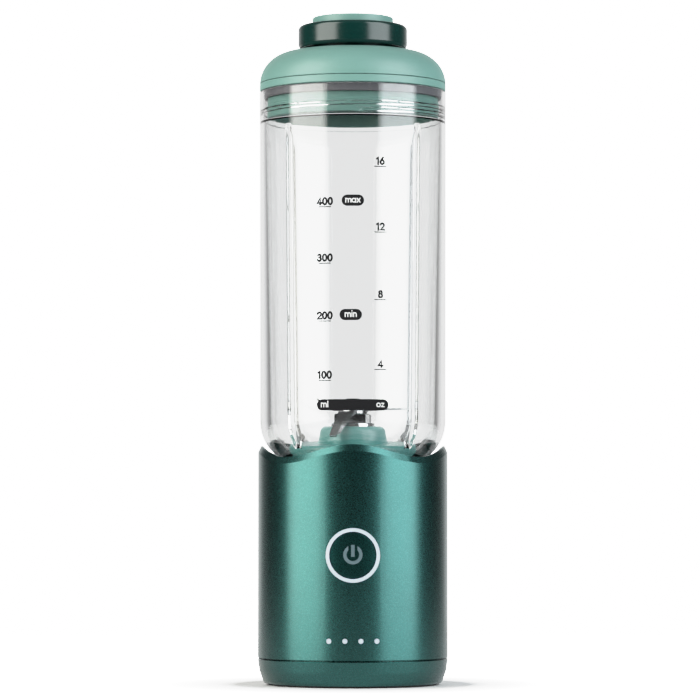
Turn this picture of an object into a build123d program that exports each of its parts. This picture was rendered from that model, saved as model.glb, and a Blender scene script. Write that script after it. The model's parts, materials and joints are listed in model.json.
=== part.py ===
from build123d import *
import os
from math import cos, radians, sin, sqrt

# Cordless cup blender: a battery base with a motor, a clear cup whose open neck locks into the base
# around a bladed platform, a screw lid and a twist cap on the lid's spout.
# Millimetres, +Z up. The front, with the button, faces -Y. The origin is the centre of the underside.

# ---- Driving dimensions: the base ----
BASE_R = 40.7                  # outer radius of the base
BASE_WALL = 2.2
PARTING_Z = 11.3               # line between the bottom cover and the housing
PARTING_GAP = 0.25
RIM_Z = 99.55                  # mean height of the wavy rim
RIM_WAVE = 2.55                # rise and fall either side of the mean
RIM_COUNT = 4                  # crests round the rim, one of them at the front
RIM_EDGE_R = 39.4              # where the rim's flat top ends and its bevel starts
RIM_BEVEL = 2.8                # how far the bevel goes down
FOOT_IN, FOOT_OUT = 30.0, 36.0
FOOT_HEIGHT = 1.8
COVER_BOTTOM_Z = 0.8
COVER_FLOOR_Z = 3.0

# ---- Driving dimensions: the socket, the platform and the blades ----
FLANGE_Z = (81.0, 84.0)        # platform flange, clamped under the socket ring
SOCKET_R = 31.6                # bore of the socket ring
SOCKET_TOP_Z = 96.5
LUG_GROOVE_R = 34.4
LUG_GROOVE_Z = (86.5, 91.8)
LUG_ANGLES = (45, 135, 225, 315)
LUG_WIDTH = 24.0               # degrees
ENTRY_WIDTH = 28.0             # degrees
PLATFORM_R = 27.3
PLATFORM_TOP_Z = 102.5
HUB_TOP_Z = 109.6
BEARING_R = 6.5
BEARING_HEIGHT = 4.9
LOWER_BEARING_Z = 92.7
UPPER_BEARING_Z = 101.0
LOWER_BLADE_Z = 115.7
UPPER_BLADE_Z = 116.8
BLADE_NUT_Z = 118.5
SHAFT_R = 2.5

# ---- Driving dimensions: the cup ----
CUP_R = 40.1                   # outer radius at the mouth
CUP_SHOULDER_R = 39.8          # outer radius just above the shoulder
CUP_TOP_Z = 254.4
CUP_BOTTOM_Z = 86.05
NECK_R = 31.0
NECK_BORE_R = 28.0
SHOULDER_Z = 112.5             # where the outer wall starts to round in
SHOULDER_ARC = 18.7
BOWL_Z = 113.5                 # where the inner wall starts to round in
BOWL_ARC = 16.5
BOWL_R = 35.2                  # inner radius just above the bowl
BORE_TOP_R = 37.5              # inner radius just below the collar
COLLAR_Z = 241.3
COLLAR_R = 38.5                # bore of the threaded collar
RIB_WIDTH = 2.6
RIB_HEIGHT = 2.0
RIB_Z = (102.2, 238.0)

# ---- Driving dimensions: the lid and the cap ----
LID_BOTTOM_Z = 254.6
LID_SEAM_Z = 257.9             # fine groove between the lid's flange and its dome
SKIRT_BOTTOM_Z = 242.4
SKIRT_R = 36.8
SKIRT_BORE_R = 35.0
DOME_ARC_Z = 257.6             # height of the centre of the dome's shoulder arc
DOME_SHOULDER_ARC = 13.6
DOME_CROWN_ARC = 15.0
DOME_WALL = 2.0
PLATEAU_Z = 270.2
PLATEAU_R = 24.2
SPOUT_R = 15.2
SPOUT_BORE_R = 12.5
SPOUT_TOP_Z = 281.1
CAP_R = 23.5
CAP_Z = (273.3, 283.1)
CAP_NECK_R = 17.2
INSERT_R = 17.4
TOP_Z = 287.6
THREAD_PITCH = 3.7

# ---- Driving dimensions: controls and works ----
BUTTON_Z = 55.6
BUTTON_R = 9.6
BUTTON_RING = (9.9, 11.4)
LED_Z = 19.8
LED_XS = (-10.05, -3.35, 3.35, 10.05)
LED_R = 1.05
PORT_Z = 24.0
CONTROL_BOARD_Y = (-31.2, -30.0)
MAIN_BOARD_Y = (29.0, 30.6)
MOTOR_R = 17.9
MOTOR_Z = (14.0, 74.4)
MOTOR_SHAFT_R = 1.6
CELL_R = 9.1
CELL_X = 28.0
CELL_Z = (6.0, 71.0)
BRACKET_Z = (74.6, 76.6)
BOSS_RADIUS = 33.0             # circle of the cover screws
BOSS_ANGLES = (30, 150, 210, 330)
STANDOFF_RADIUS = 29.0         # circle of the platform screws
PIN_ANGLE = 116.5              # the interlock pin stands just ahead of a lug
PIN_RADIUS = 32.7
PIN_R = 1.2
PIN_TRAVEL = 1.5

# ---- Fits ----
SNUG = 0.02                    # radial gap of a running fit or a seated bearing
LOOSE = 0.1                    # gap between fixed neighbours
FREE = 0.3                     # gap between pieces that move past each other

QUARTERS = (0, 90, 180, 270)
STANDING = (Align.CENTER, Align.CENTER, Align.MIN)


# ---- Helpers ----
def disc(radius, z_low, z_high):
    """Upright cylinder about Z."""
    return Pos(0, 0, z_low) * Cylinder(radius, z_high - z_low, align=STANDING)


def ring(r_in, r_out, z_low, z_high):
    """Upright ring about Z."""
    return disc(r_out, z_low, z_high) - disc(r_in, z_low - 1, z_high + 1)


def post(x, y, radius, z_low, z_high):
    """Upright cylinder at (x, y)."""
    return Pos(x, y, 0) * disc(radius, z_low, z_high)


def tube(x, y, r_in, r_out, z_low, z_high):
    """Upright ring at (x, y)."""
    return Pos(x, y, 0) * ring(r_in, r_out, z_low, z_high)


def rod_y(x, z, radius, y_low, y_high):
    """Cylinder along Y."""
    return Pos(x, y_low, z) * Rot(-90, 0, 0) * Cylinder(radius, y_high - y_low, align=STANDING)


def block(x_span, y_span, z_span):
    """Box from its three spans."""
    size = [high - low for low, high in (x_span, y_span, z_span)]
    centre = [(high + low) / 2 for low, high in (x_span, y_span, z_span)]
    return Pos(*centre) * Box(*size)


def polar(radius, angle):
    """Point in plan at a radius and an angle in degrees."""
    return radius * cos(radians(angle)), radius * sin(radians(angle))


def around(shape, angles):
    """Copies of a shape turned about Z."""
    return [Rot(0, 0, angle) * shape for angle in angles]


def turned(*corners):
    """Solid turned about Z from (radius, height) corners; a third number rounds that corner."""
    face = make_face(Polyline(*[corner[:2] for corner in corners], close=True))
    for corner in corners:
        if len(corner) == 3:
            vertex = face.vertices().sort_by_distance(corner[:2])[0]
            face = fillet(vertex, corner[2])
    return revolve(Plane.XZ * face, Axis.Z)


def turned_lines(*lines):
    """Solid turned about Z from the closed chain of lines and arcs of its outline."""
    return revolve(Plane.XZ * make_face(Curve() + list(lines)), Axis.Z)


def sector(r_in, r_out, z_low, z_high, middle, width):
    """Slice of a ring, width degrees wide, centred on the angle called middle."""
    corners = ((r_in, z_low), (r_out, z_low), (r_out, z_high), (r_in, z_high))
    face = make_face(Polyline(*corners, close=True))
    return Rot(0, 0, middle - width / 2) * revolve(Plane.XZ * face, Axis.Z, revolution_arc=width)


def thread_rings(r_root, r_crest, heights):
    """Plain ridges, one for each turn of a thread, as deep as the thread."""
    half_root = 1.0
    half_crest = 0.45
    ridges = []
    for z in heights:
        corners = ((r_root, z - half_root), (r_crest, z - half_crest), (r_crest, z + half_crest),
                   (r_root, z + half_root))
        ridges.append(turned(*corners))
    return ridges


def screw(length, shank_r=1.45, head_r=2.6, head_height=1.9):
    """Cross-head screw pointing up, with the underside of its head at z = 0."""
    cross_width, cross_depth = 0.7, 1.0
    body = disc(head_r, -head_height, 0) + disc(shank_r, -0.1, length)
    arm = head_r * 0.6
    depth = (-head_height - 1, -head_height + cross_depth)
    cross = block((-arm, arm), (-cross_width / 2, cross_width / 2), depth)
    return body - around(cross, (0, 90))


def wire(radius, corner_radius, *points):
    """Insulated wire along straight runs joined by arcs."""
    path = FilletPolyline(*points, radius=corner_radius)
    return sweep(path.location_at(0) * Circle(radius), path=path)


def group(shapes):
    """Separate solids kept together in one node."""
    return Compound(children=list(shapes))


# ---- The base's shell ----
def rim_cutter(slope):
    """All that lies above one wave of the rim, from trough to trough, on a surface that slopes outwards."""
    steps = 8
    half_wave = 180 / RIM_COUNT

    def rim_line(radius):
        angles = [radians(-half_wave + 2 * half_wave * step / steps) for step in range(steps + 1)]
        level = RIM_Z - slope * (radius - RIM_EDGE_R)
        points = [(radius * cos(a), radius * sin(a), level + RIM_WAVE * cos(RIM_COUNT * a)) for a in angles]
        ends = [(-sin(a), cos(a), 0) for a in (angles[0], angles[-1])]
        return Spline(*points, tangents=ends)

    surface = Face.make_surface_from_curves(rim_line(BASE_R - BASE_WALL - 1), rim_line(BASE_R + 1))
    return Solid.extrude(surface, Vector(0, 0, 12))


def flap_recess(margin):
    """Space of the charging port's flap in the rear wall, grown all round by a margin."""
    depth = 1.4
    half_width, half_height = 8.7, 4.4
    window = block((-half_width - margin, half_width + margin), (30, 50),
                   (PORT_Z - half_height - margin, PORT_Z + half_height + margin))
    window = fillet(window.edges().filter_by(Axis.Y), 2.0 + margin)
    return window & ring(BASE_R - depth - margin, BASE_R + margin, 0, 60)


def base_housing():
    """Tall shell with the wavy rim, and the bosses and posts moulded inside it."""
    bore = BASE_R - BASE_WALL
    bottom = PARTING_Z + PARTING_GAP / 2
    shell = turned((bore, bottom), (BASE_R - 0.3, bottom), (BASE_R, bottom + 0.3), (BASE_R, RIM_Z + 4),
                   (bore, RIM_Z + 4))
    for slope in (0, RIM_BEVEL / (BASE_R - RIM_EDGE_R)):
        shell -= around(rim_cutter(slope), QUARTERS)

    ledge = ring(36.4, bore + 0.5, FLANGE_Z[0] - 2.6, FLANGE_Z[0] - LOOSE)
    notch = block((33, bore - 0.05), (-3.2, 3.2), (FLANGE_Z[0] - 4, FLANGE_Z[0] + 1))
    shell += ledge - around(notch, QUARTERS)

    web = block((BOSS_RADIUS, bore + 0.5), (-1.2, 1.2), (bottom, 24))
    boss = post(BOSS_RADIUS, 0, 3.4, bottom, 24) + web
    pilot = post(BOSS_RADIUS, 0, 1.5, bottom - 1, 19)
    shell += around(boss - pilot, BOSS_ANGLES)

    within = disc(BASE_R - 1, 0, RIM_Z)
    for x in (-11, 11):
        for z in (28, 63.6):
            shell += rod_y(x, z, 1.9, -39.5, CONTROL_BOARD_Y[0] - 0.05) & within
    for x in (-16, 16):
        for z in (18, 62):
            shell += rod_y(x, z, 1.9, MAIN_BOARD_Y[1] + 0.05, 38) & within
    shell += block((-11.5, 11.5), (36.6, 40), (PORT_Z - 7, PORT_Z + 7)) & within

    shell -= rod_y(0, BUTTON_Z, BUTTON_RING[1] + LOOSE, -45, -32)
    for x in LED_XS:
        shell -= rod_y(x, LED_Z, LED_R + LOOSE, -45, -36)
    slot = block((-5.2, 5.2), (30, 45), (PORT_Z - 2.3, PORT_Z + 2.3))
    shell -= fillet(slot.edges().filter_by(Axis.Y), 2.2)
    shell -= flap_recess(0.2)
    return shell


def base_cover():
    """Bottom cover: its wall draws in to a narrower foot, with a spigot that centres the housing."""
    top = PARTING_Z - PARTING_GAP / 2
    cover = turned((0, COVER_BOTTOM_Z), (37.8, COVER_BOTTOM_Z), (38.5, 1.8, 2), (40.0, 6.1, 8),
                   (BASE_R, top - 0.3), (BASE_R - 0.3, top), (38.3, top), (38.3, 13.5), (37.3, 13.5),
                   (37.3, 4.5), (36.5, COVER_FLOOR_Z), (0, COVER_FLOOR_Z))
    cover -= around(block((36, 39), (-1.5, 1.5), (top, 14)), BOSS_ANGLES)
    cover -= ring(FOOT_IN - LOOSE, FOOT_OUT + LOOSE, 0, FOOT_HEIGHT)
    boss = post(BOSS_RADIUS, 0, 3.6, COVER_FLOOR_Z - 0.5, PARTING_Z)
    cover += around(boss, BOSS_ANGLES)
    hole = post(BOSS_RADIUS, 0, 1.6, 0, 20) + post(BOSS_RADIUS, 0, 2.8, 0, 4.0)
    return cover - around(hole, BOSS_ANGLES)


def foot_ring():
    """Rubber ring that the blender stands on."""
    return turned((FOOT_IN, 0, 0.4), (FOOT_OUT, 0, 0.4), (FOOT_OUT, FOOT_HEIGHT), (FOOT_IN, FOOT_HEIGHT))


def cover_screws():
    """Screws that hold the bottom cover, hidden under the foot ring."""
    x, y = BOSS_RADIUS, 0
    return group(around(Pos(x, y, 4.0) * screw(14), BOSS_ANGLES))


# ---- The socket and the platform ----
def pin_place():
    """Plan position of the interlock pin."""
    return polar(PIN_RADIUS, PIN_ANGLE)


def socket_ring():
    """Ring with the lug groove and its four entry slots, and a dished top."""
    low = FLANGE_Z[1] + 0.05
    body = turned((SOCKET_R, low), (BASE_R - BASE_WALL - 0.2, low), (BASE_R - BASE_WALL - 0.2, SOCKET_TOP_Z),
                  (SOCKET_R + 2, SOCKET_TOP_Z - 0.8), (SOCKET_R, SOCKET_TOP_Z - 2.5))
    body -= ring(SOCKET_R - 1, LUG_GROOVE_R, *LUG_GROOVE_Z)
    entry = (LUG_GROOVE_Z[1] - 1, SOCKET_TOP_Z + 1)
    for angle in LUG_ANGLES:
        body -= sector(SOCKET_R - 2, LUG_GROOVE_R + 0.2, *entry, angle, ENTRY_WIDTH)
    body -= post(*pin_place(), PIN_R + 0.07, low - 1, LUG_GROOVE_Z[0] + 1)
    pilot = post(36.3, 0, 1.2, low - 1, 92.5)
    return body - around(pilot, QUARTERS)


def socket_screws():
    """Screws up through the platform's flange into the socket ring."""
    return group(around(Pos(36.3, 0, FLANGE_Z[0] - 0.05) * screw(11, shank_r=1.15, head_r=2.0), QUARTERS))


def blade_platform():
    """Floor of the cup with the raised hub, a skirt down to the clamped flange and the bearing tube."""
    seat = BEARING_R + SNUG
    spacer = (LOWER_BEARING_Z + BEARING_HEIGHT + LOOSE, UPPER_BEARING_Z - LOOSE)
    under = PLATFORM_TOP_Z - 2.5
    body = turned((seat, 92), (9.5, 92), (9.5, under), (25, under), (25, FLANGE_Z[0]), (38.2, FLANGE_Z[0]),
                  (38.2, FLANGE_Z[1]), (PLATFORM_R, FLANGE_Z[1]), (PLATFORM_R, PLATFORM_TOP_Z, 1.2),
                  (15.6, PLATFORM_TOP_Z, 1.0), (14.6, PLATFORM_TOP_Z + 1.4), (13.8, HUB_TOP_Z, 2.6),
                  (seat, HUB_TOP_Z), (seat, spacer[1]), (5.6, spacer[1]), (5.6, spacer[0]),
                  (seat, spacer[0]))
    body -= post(*pin_place(), PIN_R + 0.07, FLANGE_Z[0] - 1, FLANGE_Z[1] + 1)
    body -= around(post(36.3, 0, 1.25, FLANGE_Z[0] - 1, FLANGE_Z[1] + 1), QUARTERS)
    return body - around(post(STANDOFF_RADIUS, 0, 1.45, FLANGE_Z[0] - 1, FLANGE_Z[1] - 0.6), LUG_ANGLES)


def platform_screws():
    """Screws that hang the motor bracket under the platform."""
    return group(around(Pos(STANDOFF_RADIUS, 0, BRACKET_Z[0] - 0.05) * screw(8.6), LUG_ANGLES))


def hub_sleeve():
    """Plated sleeve on the hub: a round flange under a hexagon."""
    low, high = HUB_TOP_Z + 0.02, HUB_TOP_Z + 1.4
    flange = turned((0, low), (9.45, low), (9.45, high, 0.4), (0, high))
    hexagon = extrude(RegularPolygon(radius=8.1, side_count=6), amount=5.8)
    hexagon = chamfer(hexagon.edges().group_by(Axis.Z)[-1], 0.4)
    sleeve = flange + Pos(0, 0, HUB_TOP_Z + 0.2) * Rot(0, 0, 12) * hexagon
    return sleeve - disc(SHAFT_R + 0.08, HUB_TOP_Z - 1, HUB_TOP_Z + 6)


def shaft_bearings():
    """Two ball bearings that carry the blade shaft."""
    heights = (LOWER_BEARING_Z, UPPER_BEARING_Z)
    return group(ring(SHAFT_R + SNUG, BEARING_R, z, z + BEARING_HEIGHT) for z in heights)


def shaft_seal():
    """Lip seal above the upper bearing."""
    return ring(SHAFT_R + 0.05, BEARING_R, UPPER_BEARING_Z + BEARING_HEIGHT + 0.4, HUB_TOP_Z - 0.3)


def vessel_seal():
    """Silicone ring that the cup's neck stands on."""
    return turned((PLATFORM_R + 0.4, FLANGE_Z[1] + 0.05), (SOCKET_R - 0.4, FLANGE_Z[1] + 0.05),
                  (SOCKET_R - 0.4, CUP_BOTTOM_Z - 0.05, 0.4), (PLATFORM_R + 0.4, CUP_BOTTOM_Z - 0.05, 0.4))


# ---- The cup interlock ----
def interlock_pin():
    """Pin that a lug of the cup presses down as the cup locks."""
    x, y = pin_place()
    top = CUP_BOTTOM_Z + 1.9 + PIN_TRAVEL
    collar = (FLANGE_Z[0] - 1.1, FLANGE_Z[0] - LOOSE)
    pin = turned((0, 77.0), (PIN_R, 77.0), (PIN_R, collar[0]), (2.3, collar[0]), (2.3, collar[1]),
                 (PIN_R, collar[1]), (PIN_R, top, 0.7), (0, top))
    return Pos(x, y, 0) * pin


def interlock_spring():
    """Coil that lifts the pin."""
    x, y = pin_place()
    low, high = BRACKET_Z[1] + 0.25, FLANGE_Z[0] - 1.35
    path = Pos(x, y, low) * Helix(pitch=(high - low) / 3, height=high - low, radius=1.75)
    return sweep(path.location_at(0) * Circle(0.2), path=path)


def interlock_switch():
    """Sealed switch on the top edge of the main board, under the pin."""
    x, y = pin_place()
    body = block((x - 3, x + 3), (y - 3, y + 3), (70.1, BRACKET_Z[0] - 0.1))
    return body + post(x, y, 1.0, 73, 75.3)


# ---- The drive ----
def motor_can():
    """Drawn steel can with a nose that seats the front bearing."""
    low, high = MOTOR_Z
    can = turned((MOTOR_R - 1.4, low), (MOTOR_R, low), (MOTOR_R, high, 1.2), (6.5, high), (6.5, high + 3.6),
                 (5.0 + SNUG, high + 3.6), (5.0 + SNUG, high + 0.4), (2.4, high + 0.4), (2.4, high - 1.5),
                 (MOTOR_R - 1.4, high - 1.5))
    return can - around(post(12, 0, 1.45, high - 3, high + 1), (0, 180))


def motor_magnets():
    """Pair of arc magnets bonded in the can."""
    return group(sector(13.6, MOTOR_R - 1.45, 22, 62, angle, 120) for angle in (0, 180))


def motor_endcap():
    """Plastic end cap with the rear bearing seat and two brush holders."""
    low = MOTOR_Z[0]
    cap = disc(MOTOR_R, low - 2.2, low - 0.02) + disc(MOTOR_R - 1.45, low - 0.1, low + 1.2)
    holder = block((-3.2, 3.2), (5.4, 14), (low + 1, low + 7.6))
    holder -= block((-2.05, 2.05), (5, 15), (low + 2.4, low + 6.6))
    cap += around(holder, (0, 180))
    cap -= disc(4.0 + SNUG, low - 1.5, low + 3)
    return cap - disc(MOTOR_SHAFT_R + 0.6, low - 4, low)


def motor_brushes():
    """Two carbon brushes on the commutator."""
    low = MOTOR_Z[0]
    return group(around(block((-2, 2), (4.56, 12), (low + 2.5, low + 6.5)), (0, 180)))


def motor_bearings():
    """Rear and front bearings of the motor."""
    rear = ring(MOTOR_SHAFT_R + SNUG, 4.0, MOTOR_Z[0] - 1.5, MOTOR_Z[0] + 1.0)
    front = ring(MOTOR_SHAFT_R + SNUG, 5.0, MOTOR_Z[1] + 0.5, MOTOR_Z[1] + 3.4)
    return group((rear, front))


def motor_bracket():
    """Plate that hangs the motor under the platform on four standoffs."""
    low, high = BRACKET_Z
    plate = ring(6.7, 32.5, low, high)
    tab = post(*pin_place(), 4.0, low, high)
    plate += tab
    plate += around(post(STANDOFF_RADIUS, 0, 3.0, low, FLANGE_Z[0] - 0.05), LUG_ANGLES)
    plate -= around(post(STANDOFF_RADIUS, 0, 1.5, low - 1, FLANGE_Z[0] + 1), LUG_ANGLES)
    plate -= around(post(12, 0, 1.5, low - 1, high + 1), (0, 180))
    window = post(22.5, 0, 4.5, low - 1, high + 1)
    plate -= around(window, (0, 90, 180, 270))
    return plate - post(*pin_place(), 1.4, low - 1, high + 1)


def motor_screws():
    """Screws through the bracket into the motor's face."""
    down = Pos(12, 0, BRACKET_Z[1] + 0.02) * Rot(180, 0, 0) * screw(3.6)
    return group(around(down, (0, 180)))


def motor_shaft():
    """Steel shaft through the motor."""
    return disc(MOTOR_SHAFT_R, MOTOR_Z[0] - 1.9, 84.9)


def armature_core():
    """Slotted iron core on the motor shaft."""
    core = ring(MOTOR_SHAFT_R + 0.01, 13.1, 27, 57)
    slot = post(9.6, 0, 2.3, 26, 58) + block((9.6, 14), (-0.8, 0.8), (26, 58))
    return core - around(slot, range(0, 360, 45))


def armature_windings():
    """Copper end turns on both faces of the core."""
    lower = turned((3.4, 22.2), (11.6, 22.2, 2), (12.4, 26.9), (3.4, 26.9))
    upper = turned((3.4, 57.1), (12.4, 57.1), (11.6, 62.2, 2), (3.4, 62.2))
    return group((lower, upper))


def commutator():
    """Segmented copper drum that the brushes bear on."""
    drum = ring(MOTOR_SHAFT_R + 0.01, 4.5, 16.0, 21.6)
    groove = block((4.0, 5), (-0.15, 0.15), (15, 20.8))
    return drum - around(groove, range(0, 360, 45))


def shaft_coupling():
    """Coupling from the motor shaft to the blade shaft."""
    body = turned((0, 79), (4.6, 79, 0.5), (4.6, 91, 0.5), (0, 91))
    body -= disc(MOTOR_SHAFT_R + 0.01, 78, 85)
    return body - disc(SHAFT_R + 0.01, 85, 92)


# ---- The battery ----
def battery_cells():
    """Two lithium cells beside the motor."""
    low, high = CELL_Z
    cell = disc(CELL_R, low, high) + disc(3.0, high - 0.5, high + 0.8)
    groove = ring(CELL_R - 0.5, CELL_R + 1, high - 4.0, high - 2.8)
    return group(Pos(x, 0, 0) * (cell - groove) for x in (-CELL_X, CELL_X))


def cell_ring(z_low, z_high):
    """Rings round both cells, trimmed clear of the motor and the housing."""
    rings = [tube(x, 0, CELL_R + 0.15, CELL_R + 1.4, z_low, z_high) for x in (-CELL_X, CELL_X)]
    motor = disc(MOTOR_R + FREE, z_low - 1, z_high + 1)
    return [(one & disc(37.9, z_low, z_high)) - motor for one in rings]


def battery_cradle():
    """Tray that holds the cells' lower ends."""
    low = COVER_FLOOR_Z + 0.1
    bars = block((-CELL_X, CELL_X), (-6, 6), (low, 5.6))
    cups = [post(x, 0, CELL_R + 1.4, low, 5.6) for x in (-CELL_X, CELL_X)]
    reach = disc(36.4, 0, 20)
    tray = (bars + cups) & reach
    walls = [one & reach for one in cell_ring(5.4, 12.0)]
    tray += walls
    return tray - block((-CELL_X - 4, CELL_X + 4), (-3.1, 3.1), (5.55, 6.1))


def battery_cap():
    """Cap that holds the cells' upper ends."""
    walls = cell_ring(66.0, 73.6)
    lids = [(post(x, 0, CELL_R + 1.4, 72.3, 73.6) & disc(37.9, 0, 90)) - disc(MOTOR_R + FREE, 0, 90)
            for x in (-CELL_X, CELL_X)]
    slot_left = block((-CELL_X - 3.2, -CELL_X + 3.2), (0, 12), (71.0, 72.4))
    slot_right = block((CELL_X - 3.2, CELL_X + 3.2), (0, 12), (71.0, 72.4))
    halves = [(wall + lid) - slot for wall, lid, slot in zip(walls, lids, (slot_left, slot_right))]
    return group(halves)


def battery_tabs():
    """Nickel strips that join the cells and lead to the main board."""
    bridge = block((-CELL_X - 3.5, CELL_X + 3.5), (-3, 3), (5.65, 5.95))
    tops = [block((x - 3, x + 3), (-3, 14), (71.82, 72.1)) for x in (-CELL_X, CELL_X)]
    return group([bridge] + tops)


# ---- The electronics ----
def main_board():
    """Power and charging board behind the motor."""
    board = block((-20, 20), MAIN_BOARD_Y, (13.5, 70))
    for x in (-16, 16):
        for z in (18, 62):
            board -= rod_y(x, z, 1.25, 28, 32)
    return board


def board_components():
    """Inductor, capacitors and power chips on the main board."""
    face = MAIN_BOARD_Y[0]
    inductor = block((-6, 6), (face - 5.5, face), (50, 62))
    inductor = fillet(inductor.edges().filter_by(Axis.Y), 2)
    places = ((-12, 40), (0, 38), (12, 40))
    chips = [block((x - 3, x + 3), (face - 1.5, face), (z - 3, z + 3)) for x, z in places]
    cans = [rod_y(x, 27, 3.2, face - 6.5, face) for x in (-13, 13)]
    return group([inductor] + chips + cans)


def board_screws():
    """Screws that hold both boards to the housing's posts."""
    screws = []
    for x in (-16, 16):
        for z in (18, 62):
            screws.append(Pos(x, MAIN_BOARD_Y[0] - 0.02, z) * Rot(-90, 0, 0) * screw(1.5, 1.2, 2.2, 1.4))
    for x in (-11, 11):
        for z in (28, 63.6):
            screws.append(Pos(x, CONTROL_BOARD_Y[1] + 0.02, z) * Rot(90, 0, 0) * screw(1.15, 1.2, 2.0, 1.4))
    return group(screws)


def usb_socket():
    """Charging socket that stands on the main board and faces the rear."""
    half_width, half_height = 4.5, 1.65
    reach = (MAIN_BOARD_Y[1] + 0.02, 38.4)
    shell = block((-half_width, half_width), reach, (PORT_Z - half_height, PORT_Z + half_height))
    shell = fillet(shell.edges().filter_by(Axis.Y), 1.6)
    hollow = block((-half_width + 0.3, half_width - 0.3), (33, 45), (PORT_Z - 1.35, PORT_Z + 1.35))
    hollow = fillet(hollow.edges().filter_by(Axis.Y), 1.3)
    tongue = block((-3.3, 3.3), (32.8, 37.6), (PORT_Z - 0.35, PORT_Z + 0.35))
    return shell - hollow + tongue


def port_flap():
    """Silicone flap over the charging socket."""
    flap = flap_recess(0)
    grip = rod_y(0, PORT_Z + 5.2, 1.4, 39, 45)
    return flap - grip


def control_board():
    """Front board with the button switch and the four indicator chips."""
    board = block((-13.5, 13.5), CONTROL_BOARD_Y, (14.5, 66.5))
    for x in (-11, 11):
        for z in (28, 63.6):
            board -= rod_y(x, z, 1.25, -33, -29)
    return board


def button_switch():
    """Tactile switch behind the button."""
    face = CONTROL_BOARD_Y[0] - 0.02
    body = block((-3, 3), (face - 1.1, face), (BUTTON_Z - 3, BUTTON_Z + 3))
    return body + rod_y(0, BUTTON_Z, 1.5, face - 1.35, face)


def led_chips():
    """Indicator chips behind the light pipes."""
    face = CONTROL_BOARD_Y[0] - 0.02
    return group(block((x - 0.8, x + 0.8), (face - 0.7, face), (LED_Z - 0.6, LED_Z + 0.6)) for x in LED_XS)


def light_pipes():
    """Clear pipes that carry the indicator lights to the front."""
    face = CONTROL_BOARD_Y[0] - 0.8
    pipes = []
    for x in LED_XS:
        pipe = rod_y(x, LED_Z, LED_R, -45, face) & disc(BASE_R - 0.05, 0, 60)
        pipes.append(pipe)
    return group(pipes)


def motor_wires():
    """Pair of wires from the motor's end cap to the main board."""
    wires = []
    for x in (-7, 7):
        end = MAIN_BOARD_Y[0] - 0.05
        points = ((x, 9, 11.7), (x, 9, 8.2), (x, 24.5, 8.2), (x, 24.5, 16.0), (x, end, 16.0))
        wires.append(wire(0.8, 1.7, *points))
    return group(wires)


def battery_wires():
    """Wires from the cells' tabs to the main board."""
    wires = []
    for side in (-1, 1):
        x = side * CELL_X
        end = MAIN_BOARD_Y[0] - 0.05
        points = ((x, 13, 71.7), (x, 13, 67), (side * 18.3, 24.5, 67), (side * 18.3, end, 67))
        wires.append(wire(0.8, 1.7, *points))
    return group(wires)


# ---- The button ----
def front_plug(radius, r_in, r_out):
    """Round piece along Y at the button, bounded by two cylinders about Z."""
    height = (BUTTON_Z - 20, BUTTON_Z + 20)
    return rod_y(0, BUTTON_Z, radius, -45, -30) & ring(r_in, r_out, *height)


def button_ring():
    """Light ring round the button."""
    outer = front_plug(BUTTON_RING[1], 37.0, BASE_R)
    return outer - rod_y(0, BUTTON_Z, BUTTON_RING[0], -45, -30)


def button_cap():
    """Curved button with a flange that keeps it in and a stem for the switch."""
    face = front_plug(BUTTON_R, 36.0, BASE_R - 0.35)
    face = chamfer(face.edges().filter_by(lambda edge: edge.center().Y < -38), 0.3)
    flange = front_plug(10.7, 35.4, 36.5)
    stem = rod_y(0, BUTTON_Z, 2.0, -36, -33.45)
    return face + flange + stem


def button_icon():
    """Power sign: an open ring and a bar, just proud of the button."""
    ring_r, half_stroke = 3.35, 0.7
    z = BUTTON_Z + 0.3
    circle = rod_y(0, z, ring_r + half_stroke, -45, -38) - rod_y(0, z, ring_r - half_stroke, -46, -37)
    circle -= block((-1.9, 1.9), (-46, -37), (z + 1, z + 6))
    bar = block((-0.75, 0.75), (-45, -38), (z - 0.9, z + 4.1))
    skin = ring(BASE_R - 0.34, BASE_R - 0.2, z - 6, z + 6)
    return group([circle & skin, bar & skin])


# ---- The cup ----
def cup_lug():
    """Lug on the neck, with a ramp under its leading end that presses the interlock pin."""
    low, high = 88.0, 91.5
    ramp_end = 3.6             # degrees past the lug's middle
    ramp_tilt = 7.8            # degrees
    lug = sector(NECK_R - 0.5, 34.0, low, high, 0, LUG_WIDTH)
    wedge = block((25, 40), (-20, 0), (-6, 0))
    wedge = Rot(0, 0, ramp_end) * Pos(0, 0, low) * Rot(-ramp_tilt, 0, 0) * wedge
    return lug - wedge


def cup_rib():
    """Rib inside the cup, from under the collar down into the bowl."""
    centre_r = BOWL_R - BOWL_ARC
    low, high = RIB_Z

    def inner_line(depth, top, bottom):
        """Outline of the cup's inner surface, moved inwards by a depth."""
        arc = BOWL_ARC - depth
        foot = (centre_r + sqrt(arc ** 2 - (BOWL_Z - bottom) ** 2), bottom)
        waist = (centre_r + arc, BOWL_Z)
        middle_z = (BOWL_Z + bottom) / 2
        middle = (centre_r + sqrt(arc ** 2 - (BOWL_Z - middle_z) ** 2), middle_z)
        draft = (BORE_TOP_R - BOWL_R) / (COLLAR_Z - BOWL_Z)
        head = (BOWL_R - depth + draft * (top - BOWL_Z), top)
        return foot, middle, waist, head

    foot, middle, waist, head = inner_line(RIB_HEIGHT, high - RIB_HEIGHT, low)
    foot_out, middle_out, waist_out, head_out = inner_line(-0.5, high, low)
    outline = [ThreePointArc(foot, middle, waist), Line(waist, head), Line(head, head_out),
               Line(head_out, waist_out), ThreePointArc(waist_out, middle_out, foot_out),
               Line(foot_out, foot)]
    face = Plane.XZ * make_face(Curve() + outline)
    return extrude(face, amount=RIB_WIDTH / 2, both=True)


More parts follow.
